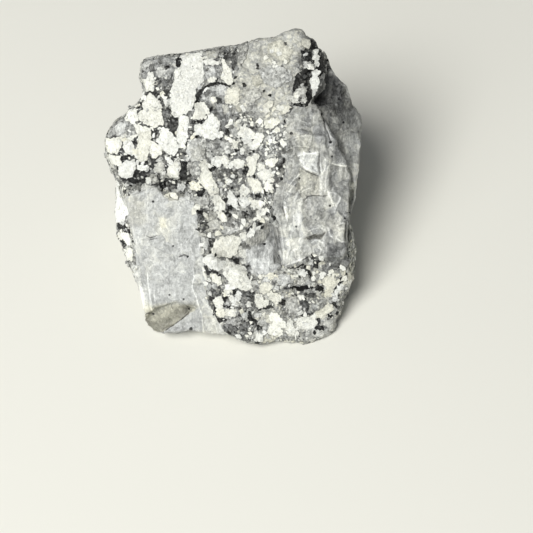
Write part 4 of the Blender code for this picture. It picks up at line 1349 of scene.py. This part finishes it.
def groundShader(f, at, uneven, fine, speck):
    # what shows between the grains
    look, size = groundLook, patternSet
    cloud, wide = f.noise(at, size["cloud"], 4, 0.6, 0.6), f.noise(at, size["wide"], 3, 0.6, 1.0)
    small, smallLean = f.chips(uneven, size["chip"])
    tiny, tinyLean = f.chips(uneven, size["tinyChip"])
    contrast = f.attribute("contrast")
    mottle = (cloud - 0.5) * look["cloud"] + small * look["chip"] + tiny * look["tinyChip"]
    tone = f.attribute("ground") + mottle * contrast + (wide - 0.5) * look["wide"]
    colour = f.shade(tone - speck * look["speck"], f.attribute("groundWarm") + small * look["tint"])
    relief = ((smallLean + tinyLean) * look["chipRise"] * (contrast * 0.7 + 0.25)
              + (fine - 0.5) * look["fineRise"])
    return f.principled(Base_Color=colour, Roughness=0.6, IOR=1.5,
                        Specular_IOR_Level=finishSet["grainShine"], Normal=f.bump(relief, 0.9))


crystalLook = dict(
    veil=(0.31, 0.14), streak=(0.12, 0.08),  # shares in the lightness, and how much more where it is broken
    fine=(0.28, 0.04), plane=(0.06, 0.05),
    sliver=0.11, stripe=0.9, flake=0.10, bright=0.15, dark=0.30, seam=0.07, speck=0.5,
    veilTint=0.9, planeTint=0.4,             # how much they change the warmth
    matte=(0.24, 0.46),                      # roughness of the clear and of the veiled parts
    planeRise=280, sliverRise=360, veilRise=0.20, streakRise=0.06, fineRise=0.10,   # relief
)


def crystalShader(f, at, uneven, ragged, fine, speck):
    # milky cleavage faces with veils, streaks, flakes and cracks
    look, size = crystalLook, patternSet
    along, thin = f.drawnOut(at, 3.0, 1.4), f.drawnOut(at, 0.3, 9.0)
    broken = f.attribute("broken")
    veil = f.noise(at, size["veil"], 6, 0.66, 0.9)
    streak, stripe = f.noise(along, size["streak"], 4, 0.62, 0.5), f.noise(thin, size["streak"], 3, 0.6)
    plane, planeLean = f.chips(f.warp(along, 1.2, 0.9), size["plane"])
    sliver, sliverLean = f.chips(f.warp(along, 0.4, 0.25), size["sliver"])
    flake = f.step(f.noise(uneven, size["flake"], 2, 0.5, 0.5), 0.62, 0.68)

    tone = f.attribute("tone")
    for pattern, (share, more) in ((veil - 0.5, look["veil"]), (streak - 0.5, look["streak"]),
                                   (fine - 0.5, look["fine"]), (plane, look["plane"])):
        tone = tone + pattern * (share + broken * more)
    tone = tone + sliver * look["sliver"]
    tone = tone + (stripe - 0.5) * look["stripe"] * f.attribute("striped")
    tone = tone + flake * look["flake"] * (0.3 + broken * 0.5)
    tone = tone + f.step(f.attribute("brightLine") + ragged * 0.6, -0.05, 0.12, look["bright"], 0.0)
    tone = tone - f.step(f.attribute("darkLine") + ragged * 0.6, -0.04, 0.10, look["dark"], 0.0)
    tone = tone + f.step(f.attribute("cellSeam") + ragged * 0.3, 0.0, 0.07, look["seam"], 0.0) * broken
    tone = tone - speck * look["speck"]
    warm = f.attribute("warm") + (veil - 0.5) * look["veilTint"] + plane * look["planeTint"]
    relief = (planeLean * look["planeRise"] + sliverLean * look["sliverRise"]
              + (veil - 0.5) * look["veilRise"] + (streak - 0.5) * look["streakRise"]
              + (fine - 0.5) * look["fineRise"])
    return f.principled(Base_Color=f.shade(tone, warm), Roughness=f.step(veil, 0.3, 0.7, *look["matte"]),
                        IOR=1.43, Specular_IOR_Level=finishSet["crystalShine"],
                        Subsurface_Weight=finishSet["depth"], Subsurface_Scale=finishSet["reach"] * mm,
                        Subsurface_Radius=(1.0, 1.0, 1.0), Normal=f.bump(relief, 0.9))


def stoneFinish():
    f = Finish("fluorite_stone_finish")
    at = f.place()
    uneven = f.warp(at, 0.5, 0.35)
    ragged = (f.noise(at, patternSet["ragged"], 3) - 0.5) * 0.3
    fine = f.noise(at, patternSet["fine"], 4, 0.65)
    speck = f.step(f.attribute("speck") + ragged * 0.5, -0.05, 0.05, 1.0, 0.0)
    ground = groundShader(f, at, uneven, fine, speck)
    crystal = crystalShader(f, at, uneven, ragged, fine, speck)
    share = f.step(f.attribute("cleaved") + ragged * 0.6, -0.06, 0.06)
    return f.output(f.node("ShaderNodeMixShader", None, {0: share, 1: ground, 2: crystal}))


studioSet = dict(
    floorColour=rgb(0.75, 0.745, 0.68), floorSize=3.0,
    key=dict(place=(-0.42, -0.36, 0.95), size=0.70, power=11.8, colour=(1.0, 0.985, 0.96)),
    fill=dict(place=(-0.75, -0.60, 0.75), size=0.9, power=4.2, colour=(0.95, 0.98, 1.0)),
    sky=rgb(0.92, 0.95, 1.0), skyStrength=0.18,
)


def makeFloor():
    mesh = bpy.data.meshes.new("floor")
    bm = bmesh.new()
    bmesh.ops.create_grid(bm, x_segments=8, y_segments=8, size=studioSet["floorSize"] / 2)
    bm.to_mesh(mesh)
    bm.free()
    f = Finish("floor_finish")
    mesh.materials.append(f.output(f.principled(Base_Color=studioSet["floorColour"], Roughness=0.9)))
    floor = added("floor", mesh)


def makeLamp(name):
    choice = studioSet[name]
    light = bpy.data.lights.new(name, "AREA")
    light.shape, light.size = "DISK", choice["size"]
    light.energy, light.color = choice["power"], choice["colour"]
    lamp = added(name, light)
    lamp.location = choice["place"]
    lamp.rotation_euler = (-Vector(choice["place"])).to_track_quat("-Z", "Y").to_euler()


def makeSky():
    world = bpy.data.worlds.new("studio")
    world.use_nodes = True
    background = world.node_tree.nodes["Background"]
    background.inputs["Color"].default_value = studioSet["sky"]
    background.inputs["Strength"].default_value = studioSet["skyStrength"]
    bpy.context.scene.world = world
    bpy.context.scene.view_settings.view_transform = "Standard"


makeCamera()
makeFloor()
makeLamp("key")
makeLamp("fill")
makeSky()
print("camera and studio are up")
stone, grains = makeStone()
stone.data.materials.clear()
stone.data.materials.append(stoneFinish())
finish = grainFinish()
for piece in grains:
    piece.data.materials.append(finish)
for piece in [stone] + grains:
    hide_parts("fluorite_stone")
    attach(piece, "root")
